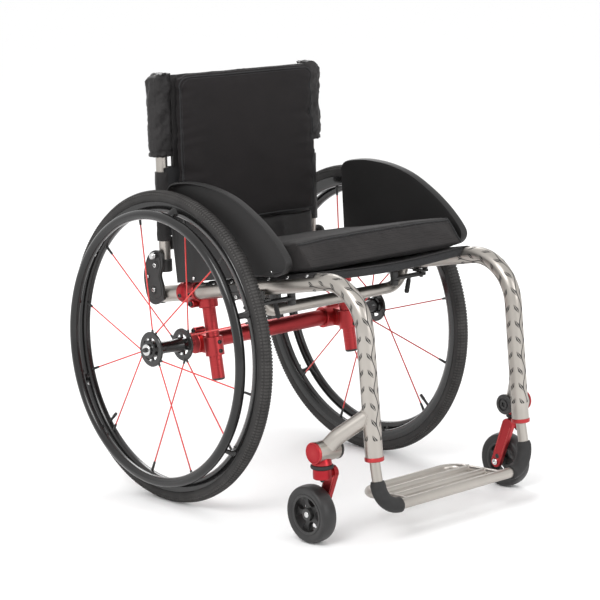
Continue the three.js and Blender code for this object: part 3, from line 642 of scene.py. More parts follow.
def piece(name, form, material, body, replaces=(), bevel=0.0, smooth=35):
    """One finished piece of the chair, riding on its body."""
    mesh = mesh_from(form, name) if isinstance(form, Form) else form
    outward(mesh)
    mesh.materials.clear()
    mesh.materials.append(material)
    smooth_edges(mesh, smooth)
    made = bpy.data.objects.new(name, mesh)
    bpy.context.scene.collection.objects.link(made)
    if bevel:
        soft = made.modifiers.new("rounded_edges", "BEVEL")
        soft.width = bevel
        soft.segments = 2
        soft.angle_limit = math.radians(40)
        soft.harden_normals = True
    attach(made, body)
    if replaces:
        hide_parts(*replaces)
    return made


# ------------------------------------------------------------------ repeated details
def socket_of(tree, name):
    for item in tree.interface.items_tree:
        if item.name == name and item.in_out == "INPUT":
            return item.identifier
    raise KeyError(name)


def ring_tree():
    """Copies of the piece, turned about the X axis and spread evenly round it."""
    tree = bpy.data.node_groups.new("ring_of_copies", "GeometryNodeTree")
    face = tree.interface
    face.new_socket("Geometry", in_out="INPUT", socket_type="NodeSocketGeometry")
    face.new_socket("Count", in_out="INPUT", socket_type="NodeSocketInt")
    face.new_socket("First Angle", in_out="INPUT", socket_type="NodeSocketFloat")
    face.new_socket("Finish", in_out="INPUT", socket_type="NodeSocketMaterial")
    face.new_socket("Geometry", in_out="OUTPUT", socket_type="NodeSocketGeometry")
    nodes, links = tree.nodes, tree.links
    source = nodes.new("NodeGroupInput")
    target = nodes.new("NodeGroupOutput")
    spots = nodes.new("GeometryNodePoints")
    index = nodes.new("GeometryNodeInputIndex")
    share = nodes.new("ShaderNodeMath")
    share.operation = "DIVIDE"
    whole = nodes.new("ShaderNodeMath")
    whole.operation = "MULTIPLY_ADD"
    whole.inputs[1].default_value = 2 * math.pi
    turn = nodes.new("ShaderNodeCombineXYZ")
    copies = nodes.new("GeometryNodeInstanceOnPoints")
    real = nodes.new("GeometryNodeRealizeInstances")
    coat = nodes.new("GeometryNodeSetMaterial")
    links.new(source.outputs["Count"], spots.inputs["Count"])
    links.new(index.outputs[0], share.inputs[0])
    links.new(source.outputs["Count"], share.inputs[1])
    links.new(share.outputs[0], whole.inputs[0])
    links.new(source.outputs["First Angle"], whole.inputs[2])
    links.new(whole.outputs[0], turn.inputs["X"])
    links.new(spots.outputs[0], copies.inputs["Points"])
    links.new(source.outputs["Geometry"], copies.inputs["Instance"])
    links.new(turn.outputs[0], copies.inputs["Rotation"])
    links.new(copies.outputs[0], real.inputs[0])
    links.new(real.outputs[0], coat.inputs["Geometry"])
    links.new(source.outputs["Finish"], coat.inputs["Material"])
    links.new(coat.outputs[0], target.inputs[0])
    return tree


def stitch_tree():
    """Short raised stitches along the piece's edges."""
    tree = bpy.data.node_groups.new("row_of_stitches", "GeometryNodeTree")
    face = tree.interface
    face.new_socket("Geometry", in_out="INPUT", socket_type="NodeSocketGeometry")
    face.new_socket("Spacing", in_out="INPUT", socket_type="NodeSocketFloat")
    face.new_socket("Stitch Length", in_out="INPUT", socket_type="NodeSocketFloat")
    face.new_socket("Thread Radius", in_out="INPUT", socket_type="NodeSocketFloat")
    face.new_socket("Finish", in_out="INPUT", socket_type="NodeSocketMaterial")
    face.new_socket("Geometry", in_out="OUTPUT", socket_type="NodeSocketGeometry")
    nodes, links = tree.nodes, tree.links
    source = nodes.new("NodeGroupInput")
    target = nodes.new("NodeGroupOutput")
    line = nodes.new("GeometryNodeMeshToCurve")
    spots = nodes.new("GeometryNodeCurveToPoints")
    spots.mode = "LENGTH"
    stitch = nodes.new("GeometryNodeMeshCylinder")
    stitch.inputs["Vertices"].default_value = 6
    copies = nodes.new("GeometryNodeInstanceOnPoints")
    real = nodes.new("GeometryNodeRealizeInstances")
    coat = nodes.new("GeometryNodeSetMaterial")
    links.new(source.outputs["Geometry"], line.inputs[0])
    links.new(line.outputs[0], spots.inputs["Curve"])
    links.new(source.outputs["Spacing"], spots.inputs["Length"])
    links.new(source.outputs["Thread Radius"], stitch.inputs["Radius"])
    links.new(source.outputs["Stitch Length"], stitch.inputs["Depth"])
    links.new(spots.outputs["Points"], copies.inputs["Points"])
    links.new(stitch.outputs["Mesh"], copies.inputs["Instance"])
    links.new(spots.outputs["Rotation"], copies.inputs["Rotation"])
    links.new(copies.outputs[0], real.inputs[0])
    links.new(real.outputs[0], coat.inputs["Geometry"])
    links.new(source.outputs["Finish"], coat.inputs["Material"])
    links.new(coat.outputs[0], target.inputs[0])
    return tree


RING = ring_tree()
STITCHES = stitch_tree()


def grown(mesh, tree, values, name):
    """The mesh that tree makes from mesh with the given named inputs."""
    helper = bpy.data.objects.new(name, mesh)
    bpy.context.scene.collection.objects.link(helper)
    modifier = helper.modifiers.new("grow", "NODES")
    modifier.node_group = tree
    for key, value in values.items():
        modifier[socket_of(tree, key)] = value
    bpy.context.view_layer.update()
    evaluated = helper.evaluated_get(bpy.context.evaluated_depsgraph_get())
    result = bpy.data.meshes.new_from_object(evaluated)
    bpy.data.objects.remove(helper)
    result.name = name
    return result


def ring_of(form, count, material, name, matrix, first=0.0):
    mesh = grown(mesh_from(form, name), RING,
                 {"Count": count, "First Angle": first, "Finish": material}, name)
    mesh.transform(matrix)
    return mesh


def seam(path, name, spacing=0.0036, length=0.0025, thread=0.0004):
    mesh = bpy.data.meshes.new(name)
    mesh.from_pydata([tuple(point) for point in path], [(i, i + 1) for i in range(len(path) - 1)], [])
    return grown(mesh, STITCHES, {"Spacing": spacing, "Stitch Length": length, "Thread Radius": thread,
                                  "Finish": THREAD}, name)


# ------------------------------------------------------------------ side frames
def side_tube_path(side, end=FRONT_TUBE_END):
    return rounded([place(side * FRAME_X, RAIL_TAIL, rail_z(RAIL_TAIL)),
                    place(side * FRAME_X, -FRONT_CORNER, rail_z(-FRONT_CORNER)),
                    place(side * FRAME_X, front_y(end), end)], FRONT_BEND, 24)


def weld(form, path, thickness=0.0016, ripples=46):
    """A rippled bead of weld round a joint, along a closed path."""
    count = len(path)
    points, faces, sides = [], [], 8
    for index, centre in enumerate(path):
        ahead = (path[(index + 1) % count] - path[index - 1]).normalized()
        normal = ahead.orthogonal().normalized()
        other = ahead.cross(normal)
        swell = thickness * (1 + 0.18 * math.cos(2 * math.pi * ripples * index / count))
        for step in range(sides):
            angle = 2 * math.pi * step / sides
            points.append(centre + (normal * math.cos(angle) + other * math.sin(angle)) * swell)
    for index in range(count):
        nxt = (index + 1) % count
        for step in range(sides):
            other_step = (step + 1) % sides
            faces.append((index * sides + step, index * sides + other_step,
                          nxt * sides + other_step, nxt * sides + step))
    form.add(points, faces)
    return form


def saddle_line(centre, along, radius, tube_centre, tube_axis, tube_radius, toward, count=184):
    """Where a bar of that radius meets the frame tube's surface: a closed line."""
    along = Vector(along).normalized()
    tube_axis = Vector(tube_axis).normalized()
    normal = along.orthogonal().normalized()
    other = along.cross(normal)
    points = []
    for step in range(count):
        angle = 2 * math.pi * step / count
        start = centre + (normal * math.cos(angle) + other * math.sin(angle)) * radius
        # slide along the bar until the distance from the tube's axis is its radius
        gap = start - tube_centre
        flat_gap = gap - tube_axis * gap.dot(tube_axis)
        flat_way = along - tube_axis * along.dot(tube_axis)
        a = flat_way.dot(flat_way)
        b = 2 * flat_gap.dot(flat_way)
        c = flat_gap.dot(flat_gap) - tube_radius ** 2
        room = max(b * b - 4 * a * c, 0)
        slide = (-b + toward * math.sqrt(room)) / (2 * a)
        points.append(start + along * slide)
    return points


def make_side_tubes():
    for name, side in SIDES:
        form = Form().sweep(side_tube_path(side), FRAME_TUBE, 48, up=(0, 0, 1))
        piece(f"{name}_frame_tube", form, ETCHED, "frame", [f"{name}_side_tube"])
        tail = side_tube_path(side)
        way = (tail[0] - tail[1]).normalized()
        cap = Form().turned([(0, 0.004), (0.010, 0.0035), (0.0150, 0.001), (0.0150, -0.004), (0, -0.004)],
                            tail[0], way, 40)
        piece(f"{name}_rail_end_cap", cap, SATIN_BLACK, "frame")


def make_cross_tube():
    low = rail_z(-0.190) - 0.048
    height = rail_z(-0.190)
    path = rounded([place(-FRAME_X, -0.190, height), place(-FRAME_X + 0.003, -0.190, low),
                    place(FRAME_X - 0.003, -0.190, low), place(FRAME_X, -0.190, height)], 0.044, 18)
    form = Form().sweep(path, 0.0111, 36)
    piece("seat_cross_bar", form, TITANIUM, "frame", ["seat_cross_tube"])
    beads = Form()
    for _, side in SIDES:
        ends = path[:2] if side < 0 else path[-2:][::-1]
        way = (ends[1] - ends[0]).normalized()
        line = saddle_line(ends[0] + way * 0.02, way, 0.0111, place(side * FRAME_X, -0.19, height),
                           (0, -1, RAIL_RISE), FRAME_TUBE, 1)
        weld(beads, line)
    piece("cross_bar_welds", beads, TITANIUM, "frame")


# ------------------------------------------------------------------ footrest
LEG = 0.0095
FOOT_Z = 0.068
FOOT_AHEAD = 0.509
PLATE_BACK = 0.384
PLATE_BACK_Z = 0.0615
PLATE_HALF = 0.118
PLATE_BAR = 0.008


def footrest_path():
    right = [place(-FRAME_X, front_y(FRONT_TUBE_END + 0.034), FRONT_TUBE_END + 0.034),
             place(-FRAME_X, front_y(FRONT_TUBE_END - 0.008), FRONT_TUBE_END - 0.008),
             place(-FRAME_X, -FOOT_AHEAD, FOOT_Z)]
    left = [Vector((-point.x, point.y, point.z)) for point in reversed(right)]
    return rounded(right + left, [0.150, 0.044, 0.044, 0.150], 16)


def plate_height(y):
    return FOOT_Z - (y + FOOT_AHEAD) * (FOOT_Z - PLATE_BACK_Z) / (FOOT_AHEAD - PLATE_BACK)


def make_footrest():
    form = Form().sweep(footrest_path(), LEG, 40)
    loop = rounded([place(-PLATE_HALF, -FOOT_AHEAD, plate_height(-FOOT_AHEAD)),
                    place(-PLATE_HALF, -PLATE_BACK, plate_height(-PLATE_BACK)),
                    place(PLATE_HALF, -PLATE_BACK, plate_height(-PLATE_BACK)),
                    place(PLATE_HALF, -FOOT_AHEAD, plate_height(-FOOT_AHEAD))], 0.034, 16)
    form.sweep(loop, PLATE_BAR, 32)
    reach = FOOT_AHEAD - PLATE_BACK
    for share in (1 / 3, 2 / 3):
        y = -FOOT_AHEAD + share * reach
        form.rod(place(-PLATE_HALF, y, plate_height(y)), place(PLATE_HALF, y, plate_height(y)), PLATE_BAR)
    piece("footrest_loop", form, TITANIUM, "frame", ["footrest_frame"])
    beads = Form()
    for _, side in SIDES:
        for share in (0, 1 / 3, 2 / 3):
            y = -FOOT_AHEAD + share * reach
            if share == 0:
                spot = place(side * PLATE_HALF, y, plate_height(y))
                line = saddle_line(spot, (0, 1, 0), PLATE_BAR, spot, (1, 0, 0), LEG, 1)
            else:
                spot = place(side * PLATE_HALF, y, plate_height(y))
                line = saddle_line(spot - Vector((side * 0.02, 0, 0)), (side, 0, 0), PLATE_BAR, spot,
                                   (0, 1, 0), PLATE_BAR, -1)
            weld(beads, line, 0.0012, 36)
    piece("footrest_welds", beads, TITANIUM, "frame")


def make_bend_protectors():
    path = footrest_path()
    for name, side in SIDES:
        first = 18 if side < 0 else 35
        bend = path[first:first + 17]
        before = bend[0] + (path[first - 1] - bend[0]).normalized() * (0.006 if side < 0 else 0.002)
        after = bend[-1] + (path[first + 17] - bend[-1]).normalized() * (0.002 if side < 0 else 0.006)
        line = [before] + bend + [after]
        radii = [0.0118] + [0.01375] * (len(line) - 2) + [0.0118]
        form = Form().sweep(line, radii, 40)
        piece(f"{name}_corner_sleeve", form, RUBBER, "frame", [f"{name}_bend_protector"],
              smooth=60)


def make_footrest_collars():
    for name, side in SIDES:
        top = place(side * FRAME_X, front_y(FRONT_TUBE_END), FRONT_TUBE_END)
        way = (place(side * FRAME_X, front_y(0.1), 0.1) - top).normalized()
        form = Form().turned([(0.0097, -0.0002), (0.0165, -0.0002), (0.01725, 0.0008), (0.01725, 0.0062),
                              (0.0158, 0.0074), (0.0097, 0.0074), (0.0097, -0.0002)], top, way, 48)
        piece(f"{name}_leg_collar", form, RED, "frame", [f"{name}_footrest_collar"])


# ------------------------------------------------------------------ casters
def make_caster_arms():
    for name, side in SIDES:
        arm = rounded([place(side * FRAME_X, front_y(0.236), 0.236),
                       place(side * (BARREL_X - 0.014), -STEM_AHEAD - 0.016, BARREL_Z + 0.024),
                       place(side * BARREL_X, -STEM_AHEAD, BARREL_Z + 0.001)], 0.060, 14)
        form = Form().sweep(arm, 0.014875, 44)
        form.rod(place(side * (BARREL_X - 0.024), -STEM_AHEAD, BARREL_Z),
                 place(side * (BARREL_X + 0.024), -STEM_AHEAD, BARREL_Z), BARREL_RADIUS, 48)
        piece(f"{name}_caster_strut", form, TITANIUM, "frame", [f"{name}_caster_arm"])
        way = (arm[1] - arm[0]).normalized()
        beads = Form()
        line = saddle_line(arm[0] + way * 0.02, way, 0.014875, arm[0],
                           (0, FRONT_LEAN, 1), FRAME_TUBE, 1)
        weld(beads, line, 0.0015, 50)
        piece(f"{name}_strut_weld", beads, TITANIUM, "frame")
        cap = Form().turned([(0, 0.0046), (0.0155, 0.0046), (0.0163, 0.0040), (0.0172, 0.0046),
                             (0.0188, 0.0044), (0.0193, 0.0034), (0.0193, 0.0002), (0, 0.0002)],
                            place(side * (BARREL_X + 0.024), -STEM_AHEAD, BARREL_Z), (side, 0, 0), 56)
        piece(f"{name}_barrel_end_cap", cap, RED, "frame", [f"{name}_barrel_cap"])
        plug = Form().turned([(0, 0.0035), (0.0042, 0.0035), (0.0042, 0.0052), (0.0085, 0.0052),
                              (0.0085, 0.0040), (0.0120, 0.0040), (0.0120, 0.0058), (0.0180, 0.0052),
                              (0.0193, 0.0034), (0.0193, 0.0002), (0, 0.0002)],
                             place(side * (BARREL_X - 0.024), -STEM_AHEAD, BARREL_Z), (-side, 0, 0), 48)
        piece(f"{name}_barrel_inner_plug", plug, SATIN_BLACK, "frame",
              [f"{name}_barrel_plug"])


def make_stem_housings():
    for name, side in SIDES:
        stem = place(side * WHEEL_TRACK / 2, -STEM_AHEAD, 0)
        cone = Form().turned([(0, 0.1465), (0.0175, 0.1465), (0.0182, 0.1480), (0.0168, 0.1540),
                              (0.0140, 0.1600), (0.0135, 0.1690), (0, 0.1690)], stem, (0, 0, 1), 48)
        piece(f"{name}_stem_cone", cone, RED, "frame", [f"{name}_stem_housing"])
        seal = Form().turned([(0, 0.1404), (0.0192, 0.1404), (0.0202, 0.1418), (0.0205, 0.1440),
                              (0.0198, 0.1462), (0.0180, 0.1468), (0, 0.1468)], stem, (0, 0, 1), 48)
        piece(f"{name}_stem_seal", seal, RUBBER, "frame")


def fork_leg_outline(width, top_radius=0.0125, steps=20):
    """Outline of the single leg, from its rounded axle end up to the head, as (y, z)."""
    low = (-STEM_AHEAD + CASTER_TRAIL, CASTER_RADIUS)
    high = (-STEM_AHEAD, 0.1285)
    lean = math.atan2(high[1] - low[1], high[0] - low[0])
    points = []
    for centre, radius, start in ((low, width, lean + math.pi / 2), (high, top_radius, lean - math.pi / 2)):
        for step in range(steps + 1):
            angle = start + math.pi * step / steps
            points.append((centre[0] + radius * math.cos(angle), centre[1] + radius * math.sin(angle)))
    return points


def make_caster_forks():
    for name, side in SIDES:
        body = f"{name}_caster_fork"
        stem = place(side * WHEEL_TRACK / 2, -STEM_AHEAD, 0)
        x_leg = side * (WHEEL_TRACK / 2 - 0.024)
        form = Form().turned([(0, 0.1212), (0.0150, 0.1212), (0.0162, 0.1222), (0.0165, 0.1300),
                              (0.0165, 0.1388), (0.0155, 0.1398), (0, 0.1398)], stem, (0, 0, 1), 48)
        spread = side_plane
        outline = fork_leg_outline(0.0108)
        form.slab(outline, x_leg - 0.0045, x_leg + 0.0045, spread)
        form.rod(place(x_leg, -STEM_AHEAD, 0.1290), place(side * WHEEL_TRACK / 2, -STEM_AHEAD, 0.1290),
                 0.0088, 32)
        piece(f"{name}_fork", form, RED, body, [f"{name}_caster_fork"], bevel=0.0012)
        pocket = Form()
        low = Vector((0, -STEM_AHEAD + CASTER_TRAIL, CASTER_RADIUS))
        high = Vector((0, -STEM_AHEAD, 0.1285))
        way = (high - low).normalized()
        across = Vector((0, way.z, -way.y))
        for face in (-1, 1):
            for edge in (-1, 1):
                start = low + way * 0.022 + across * edge * 0.0088
                end = high + across * edge * 0.0096
                path = [Vector((x_leg + face * 0.0045, p.y + AXLE_Y, p.z)) for p in (start, end)]
                pocket.sweep(path, 0.0012, 10)
        piece(f"{name}_fork_ribs", pocket, RED, body)
        steel = Form()
        axle = place(x_leg, -STEM_AHEAD + CASTER_TRAIL, CASTER_RADIUS)
        bolt(steel, axle - Vector((side * 0.0045, 0, 0)), (-side, 0, 0), 0.0062, 0.0032)
        steel.rod(axle, place(side * (WHEEL_TRACK / 2 + 0.013), -STEM_AHEAD + CASTER_TRAIL, CASTER_RADIUS),
                  0.004, 20)
        bolt(steel, place(side * (WHEEL_TRACK / 2 + 0.010), -STEM_AHEAD + CASTER_TRAIL, CASTER_RADIUS),
             (side, 0, 0), 0.0058, 0.0030)
        piece(f"{name}_caster_axle", steel, STEEL, body)
        spare = Form()
        hole = axle + way * 0.0126
        spare.turned([(0, 0.0003), (0.0034, 0.0003), (0.0040, 0.0008), (0.0046, 0.0003), (0.0046, 0), (0, 0)],
                     hole - Vector((side * 0.0045, 0, 0)), (-side, 0, 0), 24)
        spare.turned([(0, 0.0003), (0.0034, 0.0003), (0.0040, 0.0008), (0.0046, 0.0003), (0.0046, 0), (0, 0)],
                     hole + Vector((side * 0.0045, 0, 0)), (side, 0, 0), 24)
        nut = Form().turned([(0, -0.0072), (0.0022, -0.0068), (0.0036, -0.0052), (0.0040, -0.0030),
                             (0.0056, -0.0028), (0.0056, 0.0004), (0, 0.0004)], stem + Vector((0, 0, 0.1212)),
                            (0, 0, 1), 6 * 5)
        piece(f"{name}_stem_nut", nut, SATIN_BLACK, body)
        piece(f"{name}_spare_axle_hole", spare, SATIN_BLACK, body)


def caster_wheel_matrix(side):
    turn = Matrix.Rotation(0 if side > 0 else math.pi, 4, "Z")
    return Matrix.Translation(place(side * WHEEL_TRACK / 2, -STEM_AHEAD + CASTER_TRAIL, CASTER_RADIUS)) @ turn


def make_caster_wheels():
    half = 0.017
    shoulder = 0.0085
    for name, side in SIDES:
        body = f"{name}_caster_wheel"
        matrix = caster_wheel_matrix(side)
        crown = []
        for step in range(13):
            angle = math.radians(-90 + 15 * step)
            rise = math.cos(angle)
            radius = CASTER_RADIUS - shoulder
            if abs(rise) > 1e-6:
                radius += shoulder * rise ** 0.55
            crown.append((radius, (half - 0.001) * math.sin(angle)))
        profile = [(0.0364, -half + 0.004)] + crown + [(0.0364, half - 0.004), (0.0364, -half + 0.004)]
        tread = Form().turned(profile, sides=96).moved(matrix)
        piece(f"{name}_caster_tread", tread, CASTER_RUBBER, body, [f"{name}_caster_tyre"],
              smooth=60)
        ring = Form().turned([(0.0362, -0.0135), (0.0362, 0.0135), (0.0345, 0.0142), (0.0315, 0.0132),
                              (0.0312, 0.0040), (0.0312, -0.0040), (0.0315, -0.0132), (0.0345, -0.0142),
                              (0.0362, -0.0135)], sides=80)
        ring.turned([(0.0043, -0.0125), (0.0070, -0.0135), (0.0108, -0.0125), (0.0112, -0.0030),
                     (0.0112, 0.0030), (0.0108, 0.0125), (0.0070, 0.0135), (0.0043, 0.0125),
                     (0.0043, -0.0125)], sides=40)
        ring.moved(matrix)
        web = Form()
        width = 0.0045
        outline = []
        for edge in (-1, 1):
            for share in (0, 0.25, 0.5, 0.75, 1):
                radius = 0.0100 + share * 0.0220
                waist = width * (1.0 + 1.1 * (2 * share - 1) ** 2)
                outline.append((radius if edge < 0 else 0.0420 - radius, edge * waist))
        web.slab(outline, -0.0055, 0.0055, lambda r, w, d: (d, w, r))
        spokes = ring_of(web, 5, SATIN_BLACK, f"{name}_caster_spokes", matrix, first=0.3)
        piece(f"{name}_caster_spokes", spokes, SATIN_BLACK, body, bevel=0.0012)
        piece(f"{name}_caster_hub", ring, SATIN_BLACK, body, [f"{name}_caster_core"])
        face = Form().turned([(0, 0.0128), (0.0066, 0.0128), (0.0072, 0.0120), (0.0072, 0.0115), (0, 0.0115)],
                             sides=32).moved(matrix)
        piece(f"{name}_caster_bearing", face, SATIN_BLACK, body)


# ------------------------------------------------------------------ axle mounting
RAIL_WAY = Vector((0, -1, RAIL_RISE)).normalized()
RAIL_NORMAL = Vector((0, RAIL_RISE, 1)).normalized()


def on_rail(side, ahead, lift=0.0, x=FRAME_X):
    return place(side * x, -ahead, rail_z(-ahead)) + RAIL_NORMAL * lift


def axle_height(x):
    return HUB_Z - (WHEEL_TRACK / 2 - x) * math.tan(CAMBER)


def post_axis(side, drop):
    return on_rail(side, 0.026, -drop, POST_X)


def make_axle_mounts():
    axle_z = axle_height(FRAME_X)
    post_drop = (rail_z(-0.026) - axle_z) / RAIL_NORMAL.z
    half = POST_X - 0.0127 - 0.006
    bar = Form().rod(place(-half, 0, axle_z), place(half, 0, axle_z), FRAME_TUBE, 48)
    piece("camber_bar", bar, RED, "frame", ["camber_tube"])
    for name, side in SIDES:
        ring = Form()
        centre = on_rail(side, 0.002)
        ring.turned([(0.0162, -0.025), (0.0188, -0.025), (0.0196, -0.0242), (0.0196, -0.009),
                     (0.0189, -0.008), (0.0189, 0.008), (0.0196, 0.009), (0.0196, 0.0242), (0.0188, 0.025),
                     (0.0162, 0.025), (0.0162, -0.025)], centre, RAIL_WAY, 56)
        ring.rod(post_axis(side, 0.008), post_axis(side, 0.0325), 0.0187, 48, edge=0.0015)
        ring.rod(on_rail(side, 0.008, -0.0219, POST_X - 0.009),
                 on_rail(side, 0.008, -0.0219, FRAME_X + 0.012), 0.008, 32, edge=0.0012)
        piece(f"{name}_rail_clamp", ring, RED, "frame", [f"{name}_axle_clamp"])
        post = Form().rod(post_axis(side, 0.0225), post_axis(side, 0.0219 + 0.150 - 0.004), 0.0127, 44)
        for k in range(9):
            drop = 0.045 + 0.0125 * k
            post.turned([(0.0127, -0.0003), (0.01295, 0), (0.0127, 0.0003), (0.0125, 0), (0.0127, -0.0003)],
                        post_axis(side, drop), RAIL_NORMAL, 44)
        piece(f"{name}_height_post", post, RED, "frame", [f"{name}_axle_post"])
        foot = Form().turned([(0, 0.0045), (0.0095, 0.0042), (0.0122, 0.0026), (0.0126, 0), (0.0126, -0.004),
                              (0, -0.004)], post_axis(side, 0.0219 + 0.1455), -RAIL_NORMAL, 40)
        piece(f"{name}_post_foot", foot, SATIN_BLACK, "frame")
        clamp = Form()
        inner, outer = half - 0.012, POST_X + 0.0127 + 0.002
        clamp.turned([(0.0160, 0), (0.0200, 0), (0.0209, 0.0009), (0.0209, outer - inner - 0.0009),
                      (0.0200, outer - inner), (0, outer - inner), (0, 0.014), (0.0160, 0.014), (0.0160, 0)],
                     place(side * inner, 0, axle_z), (side, 0, 0), 52)
        spot = post_axis(side, post_drop)
        clamp.turned([(0.0131, -0.020), (0.0174, -0.020), (0.0182, -0.0192), (0.0182, 0.0152),
                      (0.0174, 0.016), (0.0131, 0.016), (0.0131, -0.020)], spot, RAIL_NORMAL, 48)
        web = [(0.002, axle_z - 0.018), (0.002, axle_z + 0.018),
               (spot.y - AXLE_Y, spot.z + 0.016), (spot.y - AXLE_Y, spot.z - 0.016)]
        clamp.slab(web, side * (POST_X - 0.0092), side * (POST_X + 0.0092), side_plane)
        clamp.rod(place(side * (POST_X - 0.012), 0.002, axle_z + 0.0225),
                  place(side * (POST_X + 0.012), 0.002, axle_z + 0.0225), 0.0065, 28, edge=0.001)
        piece(f"{name}_axle_block", clamp, RED, "frame", [f"{name}_camber_clamp"])
        screws = Form()
        for ahead in (-0.012, 0.018):
            bolt(screws, on_rail(side, ahead, -0.004, FRAME_X + 0.0190), (side, 0, 0), 0.0040, 0.0030)
        bolt(screws, on_rail(side, 0.008, -0.0219, FRAME_X + 0.012), (side, 0, 0), 0.0052, 0.0036)
        bolt(screws, place(side * (POST_X + 0.012), 0.002, axle_z + 0.0225), (side, 0, 0), 0.0045, 0.0032)
        bolt(screws, spot - Vector((0, 0.0182, 0)) + RAIL_NORMAL * 0.008, (0, -1, 0), 0.0040, 0.0030)
        bolt(screws, spot - Vector((0, 0.0182, 0)) - RAIL_NORMAL * 0.009, (0, -1, 0), 0.0040, 0.0030)
        piece(f"{name}_axle_mount_screws", screws, SATIN_BLACK, "frame")


# ------------------------------------------------------------------ rear wheels
def wheel_matrix(side):
    turn = Matrix.Rotation(0 if side > 0 else math.pi, 4, "Z") @ Matrix.Rotation(-CAMBER, 4, "Y")
    return Matrix.Translation(place(side * WHEEL_TRACK / 2, 0, HUB_Z)) @ turn


def make_tyres():
    centre = WHEEL_RADIUS - TYRE_RADIUS
    for name, side in SIDES:
        matrix = wheel_matrix(side)
        body = f"{name}_wheel"
        profile = []
        for angle in range(-118, 119, 4):
            r = TYRE_RADIUS - 0.0005
            if abs(angle) in (52, 56):
                r -= 0.0006
            if abs(angle) in (76,):
                r += 0.0003
            profile.append((centre + r * math.cos(math.radians(angle)), r * math.sin(math.radians(angle))))
        profile = [(0.2712, -0.0085)] + profile + [(0.2712, 0.0085), (0.2712, -0.0085)]
        casing = Form().turned(profile, sides=160).moved(matrix)
        piece(f"{name}_tyre_casing", casing, TYRE, body, [f"{name}_tyre"], smooth=60)
        block = Form()
        for edge in (-1, 1):
            for lift, width, turn in ((14, 0.0016, 0.25), (34, 0.0018, -0.3)):
                angle = math.radians(lift) * edge
                r = centre + (TYRE_RADIUS - 0.0003) * math.cos(angle)
                x = (TYRE_RADIUS - 0.0003) * math.sin(angle)
                normal = Vector((math.sin(angle), 0, math.cos(angle)))
                across = Vector((math.cos(angle), 0, -math.sin(angle)))
                along = Vector((0, 1, 0)) + across * turn
                centre_point = Vector((x, 0, r))
                corners = [centre_point + across * a * 0.0021 + along * b * width
                           for a, b in ((-1, -1), (1, -1), (1, 1), (-1, 1))]
                points = [p - normal * 0.0012 for p in corners] + [p + normal * 0.0006 for p in corners]
                block.add(points,
                          [(3, 2, 1, 0), (4, 5, 6, 7), (0, 1, 5, 4), (1, 2, 6, 5), (2, 3, 7, 6),
                           (3, 0, 4, 7)])
            angle = math.radians(60) * edge
            r = centre + TYRE_RADIUS * math.cos(angle)
            x = TYRE_RADIUS * math.sin(angle)
            normal = Vector((math.sin(angle), 0, math.cos(angle)))
            across = Vector((math.cos(angle), 0, -math.sin(angle)))
            base = Vector((x, 0, r)) - normal * 0.0014
            corners = [base + across * a * 0.0026 + Vector((0, b * 0.0022, 0)) for a,
                       b in ((-1, -1), (1, -1), (1, 1), (-1, 1))]
            tip = [p + normal * 0.0026 - (p - base) * 0.35 for p in corners]
            block.add(corners + tip,
                      [(3, 2, 1, 0), (4, 5, 6, 7), (0, 1, 5, 4), (1, 2, 6, 5), (2, 3, 7, 6), (3, 0, 4, 7)])
        # the tread blocks take the lighter rubber, a painted highlight on the serrations
        tread = ring_of(block, 300, TREAD_PAINTED_HIGHLIGHT, f"{name}_tyre_tread", matrix)
        piece(f"{name}_tyre_tread", tread, TREAD_PAINTED_HIGHLIGHT, body)


def spoke_line(index):
    angle = 2 * math.pi * index / SPOKES + math.pi / 10
    outer = index % 2 == 1
    x = FLANGE_OUT if outer else -FLANGE_OUT
    lag = angle + (0.5 if index % 4 < 2 else -0.5)
    hub_end = Vector((x, 0.0265 * math.cos(lag), 0.0265 * math.sin(lag)))
    rim_end = Vector((0.002 if outer else -0.002, RIM_INNER * math.cos(angle), RIM_INNER * math.sin(angle)))
    return hub_end, rim_end


